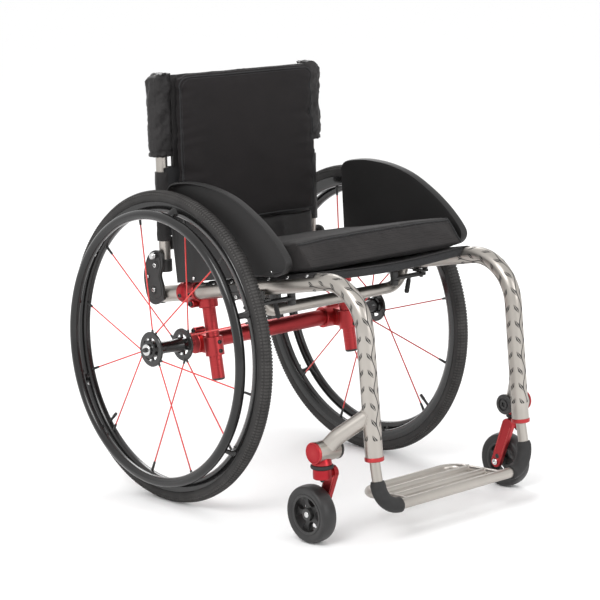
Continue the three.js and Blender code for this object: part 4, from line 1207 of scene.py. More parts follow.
def make_wheels():
    for name, side in SIDES:
        matrix = wheel_matrix(side)
        body = f"{name}_wheel"
        rim = Form().turned([(0.2530, -0.0030), (0.2545, -0.0065), (0.2600, -0.0100), (0.2660, -0.0113),
                             (0.2735, -0.0115), (0.2745, -0.0106), (0.2745, -0.0092), (0.2711, -0.0086),
                             (0.2711, 0.0086), (0.2745, 0.0092), (0.2745, 0.0106), (0.2735, 0.0115),
                             (0.2660, 0.0113), (0.2600, 0.0100), (0.2545, 0.0065), (0.2530, 0.0030),
                             (0.2530, -0.0030)], sides=160).moved(matrix)
        piece(f"{name}_wheel_rim", rim, GLOSS_BLACK, body, [f"{name}_rim"])
        spokes, nipples = Form(), Form()
        for index in range(SPOKES):
            hub_end, rim_end = spoke_line(index)
            way = (rim_end - hub_end).normalized()
            spokes.sweep([hub_end, hub_end + way * 0.012, rim_end - way * 0.020, rim_end - way * 0.012],
                         [0.0011, 0.0014, 0.0014, 0.0012], 12)
            nipples.sweep([rim_end - way * 0.018, rim_end - way * 0.0165, rim_end - way * 0.004,
                           rim_end + way * 0.003], [0.0017, 0.0023, 0.0026, 0.0030], 14)
            nipples.sweep([hub_end - way * 0.002, hub_end, hub_end + way * 0.010, hub_end + way * 0.0115],
                          [0.0018, 0.0026, 0.0022, 0.0016], 14)
        piece(f"{name}_wheel_spokes", spokes.moved(matrix), SPOKE_RED, body, [f"{name}_hub"])
        piece(f"{name}_spoke_nipples", nipples.moved(matrix), SATIN_BLACK, body)
        out = FLANGE_OUT
        core = Form().turned([(0.0067, -out - 0.006), (0.0115, -out - 0.006), (0.0125, -out - 0.005),
                              (0.0125, -out + 0.004), (0.0150, -out + 0.007), (0.0130, -out + 0.014),
                              (0.0115, -0.008), (0.0115, 0.008), (0.0130, out - 0.014), (0.0160, out - 0.007),
                              (0.0160, out + 0.003), (0.0175, out + 0.004), (0.0178, out + 0.0055),
                              (0.0165, out + 0.0078), (0.0120, out + 0.008), (0.0067, out + 0.008),
                              (0.0067, -out - 0.006)], sides=56)
        for x, outer_radius, width in ((-out, 0.0310, 0.0022), (out, 0.0330, 0.0025)):
            core.turned([(outer_radius - 0.0105, x - width), (outer_radius - 0.0012, x - width),
                         (outer_radius, x - width + 0.0012), (outer_radius, x + width - 0.0012),
                         (outer_radius - 0.0012, x + width), (outer_radius - 0.0105, x + width),
                         (outer_radius - 0.0105, x - width)], sides=64)
        core.moved(matrix)
        piece(f"{name}_hub_core", core, GLOSS_BLACK, body)
        arm = Form()
        for x in (-out, out):
            arm.slab([(0.011, -0.0042), (0.017, -0.0026), (0.0235, -0.0042), (0.0235, 0.0042),
                      (0.017, 0.0026), (0.011, 0.0042)], x - 0.0018, x + 0.0018, lambda r, w, d: (d, w, r))
        arms = ring_of(arm, 6, GLOSS_BLACK, f"{name}_hub_arms", matrix, first=0.2)
        piece(f"{name}_hub_arms", arms, GLOSS_BLACK, body, bevel=0.0006)
        ring = []
        for step in range(33):
            angle = 2 * math.pi * step / 32
            ring.append((HANDRIM_RADIUS + HANDRIM_TUBE * math.cos(angle),
                         HANDRIM_OUT + HANDRIM_TUBE * math.sin(angle)))
        ring[-1] = ring[0]
        hoop = Form().turned(ring, sides=160).moved(matrix)
        piece(f"{name}_push_rim", hoop, GLOSS_BLACK, body, [f"{name}_handrim"], smooth=60)
        tab = Form()
        r = HANDRIM_RADIUS
        tab.sweep([Vector((0.0095, 0, r + 0.0115)), Vector((0.0160, 0, r + 0.0095)),
                   Vector((0.0225, 0, r + 0.0040)), Vector((0.0285, 0, r + 0.0010))],
                  [0.0065, 0.0046, 0.0042, 0.0050], 16, squash=1.5)
        # tabs stand on the wheel's own clock: the angle runs from straight up
        first = 2 * math.pi * 0.35 / 6 - math.pi / 2
        tabs = ring_of(tab, 6, GLOSS_BLACK, f"{name}_push_rim_tabs", matrix, first=first)
        piece(f"{name}_push_rim_tabs", tabs, GLOSS_BLACK, body)
        pip = Form()
        bolt(pip, (0.0100, 0, 0.2600), (0.0, 0, -1), 0.0030, 0.0020)
        pips = ring_of(pip, 6, STEEL, f"{name}_tab_screws", matrix, first=first + 0.05)
        piece(f"{name}_tab_screws", pips, STEEL, body)
        valve = Form()
        spot = Vector((0, -0.186, -0.176)).normalized()
        base = spot * 0.256
        valve.sweep([base, base - spot * 0.018, base - spot * 0.019, base - spot * 0.030,
                     base - spot * 0.031], [0.0026, 0.0026, 0.0032, 0.0030, 0.0018], 16)
        piece(f"{name}_valve", valve.moved(matrix), SATIN_BLACK, body)


def make_quick_release_axles():
    for name, side in SIDES:
        matrix = wheel_matrix(side)
        end = FLANGE_OUT + 0.008
        pin = Form().turned([(0, -(WHEEL_TRACK / 2 - POST_X) - 0.008),
                             (0.0055, -(WHEEL_TRACK / 2 - POST_X) - 0.008),
                             (0.0059, -(WHEEL_TRACK / 2 - POST_X) - 0.006), (0.0059, end + 0.001),
                             (0.0100, end + 0.0006), (0.0110, end + 0.0016), (0.0110, end + 0.0048),
                             (0.0100, end + 0.006), (0.0047, end + 0.006), (0.0047, end - 0.004),
                             (0, end - 0.004)], sides=40).moved(matrix)
        piece(f"{name}_release_axle", pin, STEEL, "frame", [f"{name}_axle_pin"])
        button = Form().turned([(0, end + 0.0002), (0.0040, end + 0.0002), (0.0042, end + 0.0008),
                                (0.0042, end + 0.0098), (0.0036, end + 0.0108), (0, end + 0.011)],
                               sides=32).moved(matrix)
        piece(f"{name}_release_button", button, SATIN_BLACK, f"{name}_axle_release",
              [f"{name}_axle_button"])


# ------------------------------------------------------------------ soft pieces
def cell_mesh(name, corner_shape, low, high, cell=0.012):
    """A closed grid box from low to high whose points are then moved by corner_shape."""
    low, high = Vector(low), Vector(high)
    counts = [max(2, round((high[i] - low[i]) / cell)) for i in range(3)]
    points, index_of, faces = [], {}, []

    def point(i, j, k):
        key = (i, j, k)
        if key not in index_of:
            share = (i / counts[0], j / counts[1], k / counts[2])
            index_of[key] = len(points)
            points.append(corner_shape(Vector(low[n] + (high[n] - low[n]) * share[n] for n in range(3))))
        return index_of[key]

    for axis in range(3):
        u, v = (axis + 1) % 3, (axis + 2) % 3
        for end in (0, counts[axis]):
            for a in range(counts[u]):
                for b in range(counts[v]):
                    corners = []
                    for da, db in ((0, 0), (1, 0), (1, 1), (0, 1)):
                        key = [0, 0, 0]
                        key[axis], key[u], key[v] = end, a + da, b + db
                        corners.append(point(*key))
                    faces.append(corners if end else corners[::-1])
    mesh = bpy.data.meshes.new(name)
    mesh.from_pydata([tuple(p) for p in points], [], faces)
    return mesh


def puffed(mesh, name, voxel=0.006, cap=0.006, pressure=4.0, shrink=0.004, frames=20):
    """The closed mesh filled out as sewn cloth round soft foam."""
    scene = bpy.context.scene
    helper = bpy.data.objects.new(name, mesh)
    scene.collection.objects.link(helper)
    cells = helper.modifiers.new("cells", "REMESH")
    cells.mode = "VOXEL"
    cells.voxel_size = voxel
    bpy.context.view_layer.update()
    evaluated = helper.evaluated_get(bpy.context.evaluated_depsgraph_get())
    base = bpy.data.meshes.new_from_object(evaluated)
    bpy.data.objects.remove(helper)
    for vertex, normal in zip(base.vertices, [v.normal.copy() for v in base.vertices]):
        vertex.co -= normal * shrink
    helper = bpy.data.objects.new(name, base)
    scene.collection.objects.link(helper)
    cloth = helper.modifiers.new("cloth", "CLOTH")
    settings = cloth.settings
    settings.use_pressure = True
    settings.uniform_pressure_force = pressure
    settings.effector_weights.gravity = 0
    settings.tension_stiffness = 15
    settings.bending_stiffness = 2
    cloth.point_cache.frame_start = 1
    cloth.point_cache.frame_end = frames
    for step in range(1, frames + 1):
        scene.frame_set(step)
    evaluated = helper.evaluated_get(bpy.context.evaluated_depsgraph_get())
    filled = bpy.data.meshes.new_from_object(evaluated)
    for vertex, start in zip(filled.vertices, base.vertices):
        shift = vertex.co - start.co
        if shift.length > cap:
            vertex.co = start.co + shift.normalized() * cap
    bpy.data.objects.remove(helper)
    scene.frame_set(1)
    return filled


def moved_out(mesh, amount):
    """Each point moved along its own normal by amount(point, normal)."""
    normals = [vertex.normal.copy() for vertex in mesh.vertices]
    for vertex, normal in zip(mesh.vertices, normals):
        vertex.co += normal * amount(vertex.co, normal)
    return mesh


def surface_of(mesh):
    return BVHTree.FromPolygons([v.co for v in mesh.vertices], [tuple(p.vertices) for p in mesh.polygons])


def laid_on(tree, path, lift):
    """The path's points brought to the nearest place on the surface, standing lift above it."""
    laid = []
    for point in path:
        spot, normal, _, _ = tree.find_nearest(point)
        laid.append(spot + normal * lift)
    return laid


def between(start, end, count):
    return [Vector(start).lerp(Vector(end), step / (count - 1)) for step in range(count)]


def crinkle(point, scale, height, stretch=(1, 1, 1), seed=0.0):
    where = Vector((point.x * stretch[0], point.y * stretch[1], point.z * stretch[2])) * scale
    ridge = 1 - abs(noise.noise(where + Vector((seed, 0, 0)))) * 2
    return height * (ridge - 0.5)


CUSHION_HALF = 0.197
CUSHION_TOP = 0.075
CUSHION_FRONT = 0.357
CUSHION_BEVEL = 0.042
CUSHION_BACK = 0.033
CUSHION_BASE = 0.0192


def seat_cushion_shape(point):
    """The box's points carried onto the cushion's side view: front edge sloping back as it rises."""
    lift = point.z
    share = (lift - CUSHION_BASE) / (CUSHION_TOP - CUSHION_BASE)
    front = -CUSHION_FRONT + CUSHION_BEVEL * share
    along = (point.y + CUSHION_FRONT) / (CUSHION_FRONT + CUSHION_BACK)
    y = front + along * (CUSHION_BACK - front)
    crown = 0.003 * (1 - (point.x / CUSHION_HALF) ** 2) * (1 if share > 0.99 else 0)
    return place(point.x, y, rail_z(y) + lift + crown)


def make_seat_cushion():
    mesh = cell_mesh("seat_cushion_cells", seat_cushion_shape,
                     (-CUSHION_HALF, -CUSHION_FRONT, CUSHION_BASE), (CUSHION_HALF, CUSHION_BACK, CUSHION_TOP))
    full = puffed(mesh, "seat_cushion_cells", voxel=0.006, cap=0.0055, shrink=0.004)

    def fold(point, normal):
        edge = CUSHION_HALF - abs(point.x)
        pucker = crinkle(point, 60, 0.0016, (0.15, 1, 0.5)) * math.exp(-max(edge, 0) / 0.018)
        return pucker + crinkle(point, 9, 0.0012)

    moved_out(full, fold)
    cover = piece("seat_cushion_cover", full, MESH, "frame", ["seat_cushion"], smooth=180)
    tree = surface_of(full)
    welts = Form()
    lines = []
    half = CUSHION_HALF - 0.003
    top_front = -CUSHION_FRONT + CUSHION_BEVEL
    top = lambda x, y: place(x, y, rail_z(y) + CUSHION_TOP)
    low = lambda x: place(x, -CUSHION_FRONT + 0.002, rail_z(-CUSHION_FRONT) + CUSHION_BASE + 0.003)
    for _, side in SIDES:
        edge = [low(side * half), top(side * half, top_front), top(side * half, CUSHION_BACK)]
        path = between(edge[0], edge[1], 16) + between(edge[1], edge[2], 90)[1:]
        lines.append(laid_on(tree, path, 0.0006))
    lines.append(laid_on(tree, between(top(-half, top_front), top(half, top_front), 90), 0.0004))
    lines.append(laid_on(tree, between(low(-half), low(half), 90), 0.0004))
    for line in lines:
        welts.sweep(line, 0.0017, 10)
    piping = piece("seat_cushion_piping", welts, WEBBING, "frame", smooth=60)
    rows = []
    for line, shift in ((lines[2], Vector((0, 0.005, 0.001))), (lines[2], Vector((0, -0.004, -0.004)))):
        rows.append(seam(laid_on(tree, [p + shift for p in line], 0.0003), "cushion_row"))
    joined = Form()
    for row in rows:
        joined.add([v.co for v in row.vertices], [tuple(p.vertices) for p in row.polygons])
    piece("seat_cushion_stitches", joined, THREAD, "frame")
    return piping


def make_seat_sling():
    """Heavy nylon stretched over both rails and screwed down along their outer sides."""
    thick = 0.0016
    wrap = FRAME_TUBE + 0.0006
    turn = math.radians(52)
    across = []
    for step in range(9):
        angle = turn * (1 - step / 8)
        across.append((-FRAME_X - wrap * math.sin(angle), wrap * math.cos(angle)))
    for step in range(1, 40):
        share = step / 40
        across.append((-FRAME_X + 2 * FRAME_X * share, wrap - 0.007 * math.sin(math.pi * share)))
    across += [(-x, lift) for x, lift in reversed(across[:9])]
    rows = 60
    points, faces = [], []
    start, end = -0.362, -0.062
    for level in (0, thick):
        for row in range(rows + 1):
            y = start + (end - start) * row / rows
            for x, lift in across:
                out = Vector((x - max(-FRAME_X, min(FRAME_X, x)), 0,
                              lift if abs(x) > FRAME_X else 1)).normalized()
                spot = place(x, y,
                             rail_z(y)) + RAIL_NORMAL * (lift + level * out.z) + Vector((level * out.x, 0, 0))
                points.append(spot)
    wide = len(across)
    sheet_size = (rows + 1) * wide
    for row in range(rows):
        for column in range(wide - 1):
            a = row * wide + column
            quad = (a, a + 1, a + wide + 1, a + wide)
            faces.append(quad[::-1])
            faces.append(tuple(corner + sheet_size for corner in quad))
    rim = [column for column in range(wide)]
    rim += [row * wide + wide - 1 for row in range(1, rows + 1)]
    rim += [rows * wide + column for column in range(wide - 2, -1, -1)]
    rim += [row * wide for row in range(rows - 1, 0, -1)]
    for index, corner in enumerate(rim):
        nxt = rim[(index + 1) % len(rim)]
        faces.append((corner, nxt, nxt + sheet_size, corner + sheet_size))
    form = Form()
    form.add(points, faces)
    sling = piece("seat_sling_cloth", form, NYLON, "frame", ["seat_sling"], smooth=60)
    hem = Form()
    edge = []
    for step in range(41):
        share = step / 40
        x = (-1 + 2 * share) * (FRAME_X - 0.006)
        dip = 0.007 * math.sin(math.pi * share) + 0.008
        edge.append(place(x, start + 0.004, rail_z(start)) + RAIL_NORMAL * (wrap - dip))
    hem.sweep(edge, 0.0035, 14, squash=2.1, up=(0, 1, 0))
    piece("sling_front_hem", hem, WEBBING, "frame", smooth=60)
    screws = Form()
    for _, side in SIDES:
        for k in range(6):
            ahead = 0.345 - 0.052 * k
            angle = math.radians(40)
            out = Vector((side * math.sin(angle), 0, 0)) + RAIL_NORMAL * math.cos(angle)
            spot = place(side * FRAME_X, -ahead, rail_z(-ahead)) + out * (wrap + thick)
            screws.turned([(0, 0.0016), (0.0020, 0.0015), (0.0034, 0.0006), (0.0038, -0.0004), (0, -0.0004)],
                          spot, out, 20)
    piece("sling_screws", screws, STEEL, "frame")


GUARD_X = 0.213
GUARD_LIP = 0.012
GUARD_CREST = ((0.012, 0.586), (0.002, 0.599), (-0.027, 0.606), (-0.072, 0.6085), (-0.129, 0.603),
               (-0.185, 0.588), (-0.239, 0.561), (-0.279, 0.534), (-0.310, 0.506), (-0.323, 0.486),
               (-0.314, 0.468), (-0.289, 0.458))


def smooth_line(points, steps=8):
    """A curve through the points, as (first, second) pairs."""
    line = []
    for index in range(len(points) - 1):
        p0 = points[max(index - 1, 0)]
        p1, p2 = points[index], points[index + 1]
        p3 = points[min(index + 2, len(points) - 1)]
        for step in range(steps):
            t = step / steps
            line.append(tuple(0.5 * (2 * b + (c - a) * t + (2 * a - 5 * b + 4 * c - d) * t * t
                                     + (3 * b - a - 3 * c + d) * t ** 3)
                              for a, b, c, d in zip(p0, p1, p2, p3)))
    line.append(tuple(points[-1]))
    return line


def inset(outline, depth):
    """The outline drawn in by depth, for an outline that runs anticlockwise in (y, z)."""
    result = []
    count = len(outline)
    for index, (y, z) in enumerate(outline):
        before, after = outline[index - 1], outline[(index + 1) % count]
        run = Vector((after[0] - before[0], after[1] - before[1])).normalized()
        result.append((y - run.y * depth, z + run.x * depth))
    # where the inner line would double back round a tight corner, its points close up
    for _ in range(60):
        for index in range(count):
            after = (index + 1) % count
            kept = Vector(outline[after]) - Vector(outline[index])
            moved = Vector(result[after]) - Vector(result[index])
            if kept.dot(moved) < 0:
                middle = (Vector(result[index]) + Vector(result[after])) / 2
                result[index] = result[after] = tuple(middle)
    return result


def make_side_guards():
    crest = smooth_line(GUARD_CREST)
    floor_at = lambda y: rail_z(y) + FRAME_TUBE + 0.0055
    front, rear = floor_at(-0.228), floor_at(0.005)
    foot = [(-0.289 + 0.061 * t / 6, 0.458 + (front - 0.458) * t / 6) for t in range(1, 7)]
    foot += [(-0.228 + 0.233 * t / 20, floor_at(-0.228 + 0.233 * t / 20)) for t in range(1, 21)]
    foot += [(0.005 + 0.007 * t / 12, rear + (0.586 - rear) * t / 12) for t in range(1, 12)]
    outline = crest + foot
    lips = []
    for index, (y, z) in enumerate(outline):
        if index < len(crest):
            lips.append(1.0)
        elif index < len(crest) + 6:
            lips.append(1 - (index - len(crest) + 1) / 6)
        elif index >= len(outline) - 11:
            lips.append((index - len(outline) + 12) / 12 * 0.9)
        else:
            lips.append(0.0)
    # (how far in from the edge, out from the plate's inner face, share of the lip's height)
    rings = ((0.0075, 0.0, 0.0), (0.0060, 0.0, 0.0), (0.0015, 0.0, 0.05), (0.0, 0.0012, 0.25),
             (0.0, 0.0030, 0.93), (0.0006, 0.0038, 1.0), (0.0028, 0.0040, 1.0), (0.0036, 0.0038, 0.9),
             (0.0046, 0.0038, 0.45), (0.0062, 0.0040, 0.15), (0.0078, 0.0040, 0.0), (0.0090, 0.0040, 0.0))
    for name, side in SIDES:
        points, faces = [], []
        count = len(outline)
        for depth, out, share in rings:
            for (y, z), lip in zip(inset(outline, depth), lips):
                points.append(place(side * (GUARD_X + out + share * lip * GUARD_LIP), y, z))
        for ring in range(len(rings) - 1):
            for index in range(count):
                nxt = (index + 1) % count
                faces.append((ring * count + index, ring * count + nxt,
                              (ring + 1) * count + nxt, (ring + 1) * count + index))
        faces.append(tuple(range(count)))
        faces.append(tuple(range((len(rings) - 1) * count, len(rings) * count)))
        form = Form()
        form.add(points, faces)
        panel = piece(f"{name}_guard_panel", form, GUARD, "frame", [f"{name}_side_guard"],
                      smooth=50)
        for face in panel.data.polygons:
            if len(face.vertices) > 4:
                face.use_smooth = False
        feet, screws = Form(), Form()
        for y in (-0.046, -0.205):
            spread = side_plane
            corner = lambda run, lift: (y + run, rail_z(y + run) + lift)
            feet.slab([corner(-0.011, 0.0195), corner(0.011, 0.0195), corner(0.011, 0.0265),
                       corner(-0.011, 0.0265)], side * 0.1995, side * 0.2135, spread)
            bolt(screws, place(side * 0.2170, y, rail_z(y) + 0.0275), (side, 0, 0), 0.0034, 0.0022)
        bolt(screws, place(side * 0.2168, -0.268, rail_z(-0.268) + 0.027), (side, 0, 0), 0.0026, 0.0016)
        piece(f"{name}_guard_feet", feet, SATIN_BLACK, "frame", bevel=0.0015)
        piece(f"{name}_guard_screws", screws, STEEL, "frame")


# ------------------------------------------------------------------ backrest
CANE = 0.0111
CANE_TOP = 0.797
BACK_HALF = 0.173
BACK_TOP = 0.803
BACK_LOW = 0.503
BACK_FRONT = 0.038


def make_back_canes():
    for name, side in SIDES:
        form = Form().rod(place(side * FRAME_X, CANE_BEHIND, PIVOT_Z - 0.013),
                          place(side * FRAME_X, CANE_BEHIND, CANE_TOP), CANE, 40, edge=0.001)
        piece(f"{name}_back_post", form, TITANIUM, "backrest", [f"{name}_back_cane"])
        socket = Form().turned([(0, -0.0150), (0.0118, -0.0150), (0.0132, -0.0138), (0.0132, 0.0078),
                                (0.0120, 0.0095), (CANE + 0.0001, 0.0095), (CANE + 0.0001, -0.0132),
                                (0, -0.0132)], place(side * FRAME_X, CANE_BEHIND, PIVOT_Z), (0, 0, 1), 40)
        piece(f"{name}_back_post_socket", socket, SATIN_BLACK, "backrest")
    bar = Form()
    reach = FRAME_X - CANE
    level = PIVOT_Z + 0.038
    bar.rod(place(-reach, CANE_BEHIND, level), place(reach, CANE_BEHIND, level), 0.0095, 36)
    for _, side in SIDES:
        bar.turned([(0.0095, 0), (0.0122, 0.0006), (0.0128, 0.002), (0.0128, 0.010), (0.0118, 0.012),
                    (0.0095, 0.0122), (0.0095, 0)], place(side * reach, CANE_BEHIND, level), (-side, 0, 0),
                   36)
    piece("back_cross_bar", bar, SATIN_BLACK, "backrest", ["rigidizer_bar"])


def make_back_cushion():
    round_top = 0.022

    def shape(point):
        reach = BACK_HALF
        over = point.z - (BACK_TOP - round_top)
        if over > 0:
            reach -= round_top - math.sqrt(max(round_top ** 2 - over ** 2, 0))
        x = point.x / BACK_HALF * reach
        return place(x, point.y, point.z)

    mesh = cell_mesh("back_cushion_cells", shape, (-BACK_HALF, BACK_FRONT, BACK_LOW),
                     (BACK_HALF, 0.0566, BACK_TOP), 0.008)
    full = puffed(mesh, "back_cushion_cells", voxel=0.005, cap=0.0045, shrink=0.0035)

    def fold(point, normal):
        edge = max(BACK_HALF - abs(point.x), 0)
        near_top = max(BACK_TOP - point.z, 0)
        pull = crinkle(point, 42, 0.0080, (0.20, 0.3, 1), seed=3) * math.exp(-edge / 0.028)
        pull += crinkle(point, 22, 0.0016, (1, 0.3, 0.3), seed=7) * math.exp(-near_top / 0.03)
        return (pull + crinkle(point, 6, 0.0022, seed=1)) * (1 if normal.y < 0.3 else 0.2)

    moved_out(full, fold)
    cover = piece("back_cushion_cover", full, FINE_KNIT, "backrest", ["back_cushion"],
                  smooth=180)
    tree = surface_of(full)
    welts, lines = Form(), []
    front = BACK_FRONT + 0.001
    corner = round_top * 0.9
    inner = BACK_HALF - 0.004
    outline = rounded([place(-inner, front, BACK_LOW + 0.004), place(-inner, front, BACK_TOP - 0.012),
                       place(inner, front, BACK_TOP - 0.012), place(inner, front, BACK_LOW + 0.004)], corner,
                      10)
    path = []
    for start, end in zip(outline, outline[1:]):
        path += between(start, end, max(2, int((end - start).length / 0.004) + 1))[:-1]
    path.append(outline[-1])
    lines.append(laid_on(tree, path, 0.0005))
    lines.append(laid_on(tree,
                         between(place(-inner, front, BACK_LOW + 0.004),
                                 place(inner, front, BACK_LOW + 0.004), 90), 0.0005))
    for line in lines:
        welts.sweep(line, 0.0014, 8)
    piece("back_cushion_piping", welts, WEBBING, "backrest", smooth=60)
    inside = [Vector((p.x * (1 - 0.006 / BACK_HALF), p.y, p.z - 0.004)) for p in path]
    row = seam(laid_on(tree, inside, 0.0003), "back_row")
    piece("back_cushion_stitches", row, THREAD, "backrest")

    flap = cell_mesh("lower_flap_cells", placed, (-BACK_HALF + 0.003, BACK_FRONT + 0.009, PIVOT_Z + 0.004),
                     (BACK_HALF - 0.003, 0.0545, BACK_LOW + 0.004), 0.006)
    soft = puffed(flap, "lower_flap_cells", voxel=0.004, cap=0.0025, shrink=0.0015)
    moved_out(soft, lambda point,
              normal: crinkle(point, 16, 0.0036, (1, 0.3, 0.7), seed=5) * (1 if normal.y < 0.3 else 0))
    lower = piece("back_lower_flap", soft, NYLON, "backrest", smooth=180)


SLEEVE_LOW = 0.642
SLEEVE_TOP = 0.801
SLEEVE_INNER = 0.166
SLEEVE_OUTER = 0.2115
SLEEVE_MIDDLE_Y = 0.0765
PANEL_HALF = 0.175


def make_back_upholstery():
    """Panel slung between the canes, padded sleeves over their tops, and straps lower down."""
    panel = cell_mesh("back_panel_cells", placed, (-PANEL_HALF, 0.0605, 0.490), (PANEL_HALF, 0.0745, 0.8005),
                      0.010)
    soft = puffed(panel, "back_panel_cells", voxel=0.005, cap=0.003, shrink=0.002)
    moved_out(soft, lambda point,
              normal: crinkle(point, 12, 0.0026, (1, 1, 0.6), seed=11) * (1 if abs(normal.y) > 0.5 else 0))
    back = piece("back_sling_panel", soft, NYLON, "backrest", ["back_upholstery"], smooth=180)
    for name, side in SIDES:
        top_round = 0.022

        def sleeve_shape(point):
            x = point.x
            over = point.z - (SLEEVE_TOP - top_round)
            if over > 0:
                limit = SLEEVE_OUTER - (top_round - math.sqrt(max(top_round ** 2 - over ** 2, 0))) * 0.8
                x = min(x, limit)
            middle = (SLEEVE_INNER + SLEEVE_OUTER) / 2
            bulge = 1 - 0.18 * ((x - middle) / 0.0228) ** 2
            y = SLEEVE_MIDDLE_Y + (point.y - SLEEVE_MIDDLE_Y) * bulge
            return place(side * x, y, point.z)

        cells = cell_mesh(f"{name}_sleeve_cells", sleeve_shape, (SLEEVE_INNER, 0.0595, SLEEVE_LOW),
                          (SLEEVE_OUTER, 0.0935, SLEEVE_TOP), 0.006)
        outward(cells)
        sleeve = puffed(cells, f"{name}_sleeve_cells", voxel=0.003, cap=0.0035, shrink=0.002)
        hem = SLEEVE_LOW + 0.011

        def creased(point, normal):
            wave = crinkle(point, 40, 0.0036, (1, 1, 0.55), seed=side * 2.0) + crinkle(point, 110, 0.0016,
                                                                                       (1, 1, 0.7), seed=4)
            gather = 0.0022 * math.exp(-((point.z - hem) / 0.0022) ** 2)
            return wave * 0.9 - gather

        moved_out(sleeve, creased)
        made = piece(f"{name}_back_sleeve", sleeve, NYLON, "backrest", smooth=180)
        wrap = Form()
        rows, steps = 56, 30
        low, high = 0.482, 0.614
        inner_radius, cloth = CANE + 0.0006, 0.0024
        points, faces = [], []
        for level in (0, cloth):
            for row in range(rows + 1):
                z = low + (high - low) * row / rows
                for step in range(steps + 1):
                    angle = math.radians(-115 + 230 * step / steps)
                    ripple = 0.0008 * noise.noise(Vector((angle * 2, side, z * 70))) if level else 0
                    r = inner_radius + level + ripple
                    points.append(place(side * (FRAME_X + r * math.cos(angle)),
                                        CANE_BEHIND + r * math.sin(angle), z))
        wide = steps + 1
        size = (rows + 1) * wide
        for row in range(rows):
            for column in range(steps):
                a = row * wide + column
                quad = (a, a + 1, a + wide + 1, a + wide)
                faces.append(quad[::-1])
                faces.append(tuple(c + size for c in quad))
        rim = list(range(wide)) + [row * wide + steps for row in range(1, rows + 1)]
        rim += [rows * wide + column for column in range(steps - 1, -1,
                                                         -1)] + [row * wide for row in range(rows - 1, 0, -1)]
        for index, corner in enumerate(rim):
            nxt = rim[(index + 1) % len(rim)]
            faces.append((corner, nxt, nxt + size, corner + size))
        wrap.add(points, faces)
        piece(f"{name}_post_wrap", wrap, NYLON, "backrest", smooth=60)
        straps = Form()
        for low, high in ((0.568, 0.622), (0.492, 0.546)):
            path = []
            for step in range(25):
                angle = math.radians(90 + 200 * step / 24)
                r = CANE + 0.0016
                path.append(place(side * (FRAME_X + r * math.cos(angle)), CANE_BEHIND + r * math.sin(angle),
                                  0))
            start = place(side * (FRAME_X - 0.040), 0.0765, 0)
            finish_point = place(side * (FRAME_X - 0.040), 0.0615, 0)
            ribbon = [start] + path + [finish_point]
            outer = []
            for index, spot in enumerate(ribbon):
                before, after = ribbon[max(index - 1, 0)], ribbon[min(index + 1, len(ribbon) - 1)]
                run = (after - before).normalized()
                out = Vector((run.y, -run.x, 0)) * (side)
                outer.append(spot - out * 0.0012)
            loop = [Vector(p) for p in ribbon] + [Vector(p) for p in reversed(outer)]
            straps.slab([(p.x, p.y) for p in loop], low, high, lambda x, y, z: (x, y, z))
        piece(f"{name}_post_straps", straps, WEBBING, "backrest", smooth=40)


# ------------------------------------------------------------------ back hinge and latch
HINGE_OUTLINE = ((0.058, 0.372), (0.084, 0.359), (0.106, 0.366), (0.116, 0.392), (0.117, 0.420),
                 (0.103, 0.452), (0.082, 0.465), (0.062, 0.461), (0.058, 0.440), (0.066, 0.418),
                 (0.060, 0.398), (0.058, 0.372))


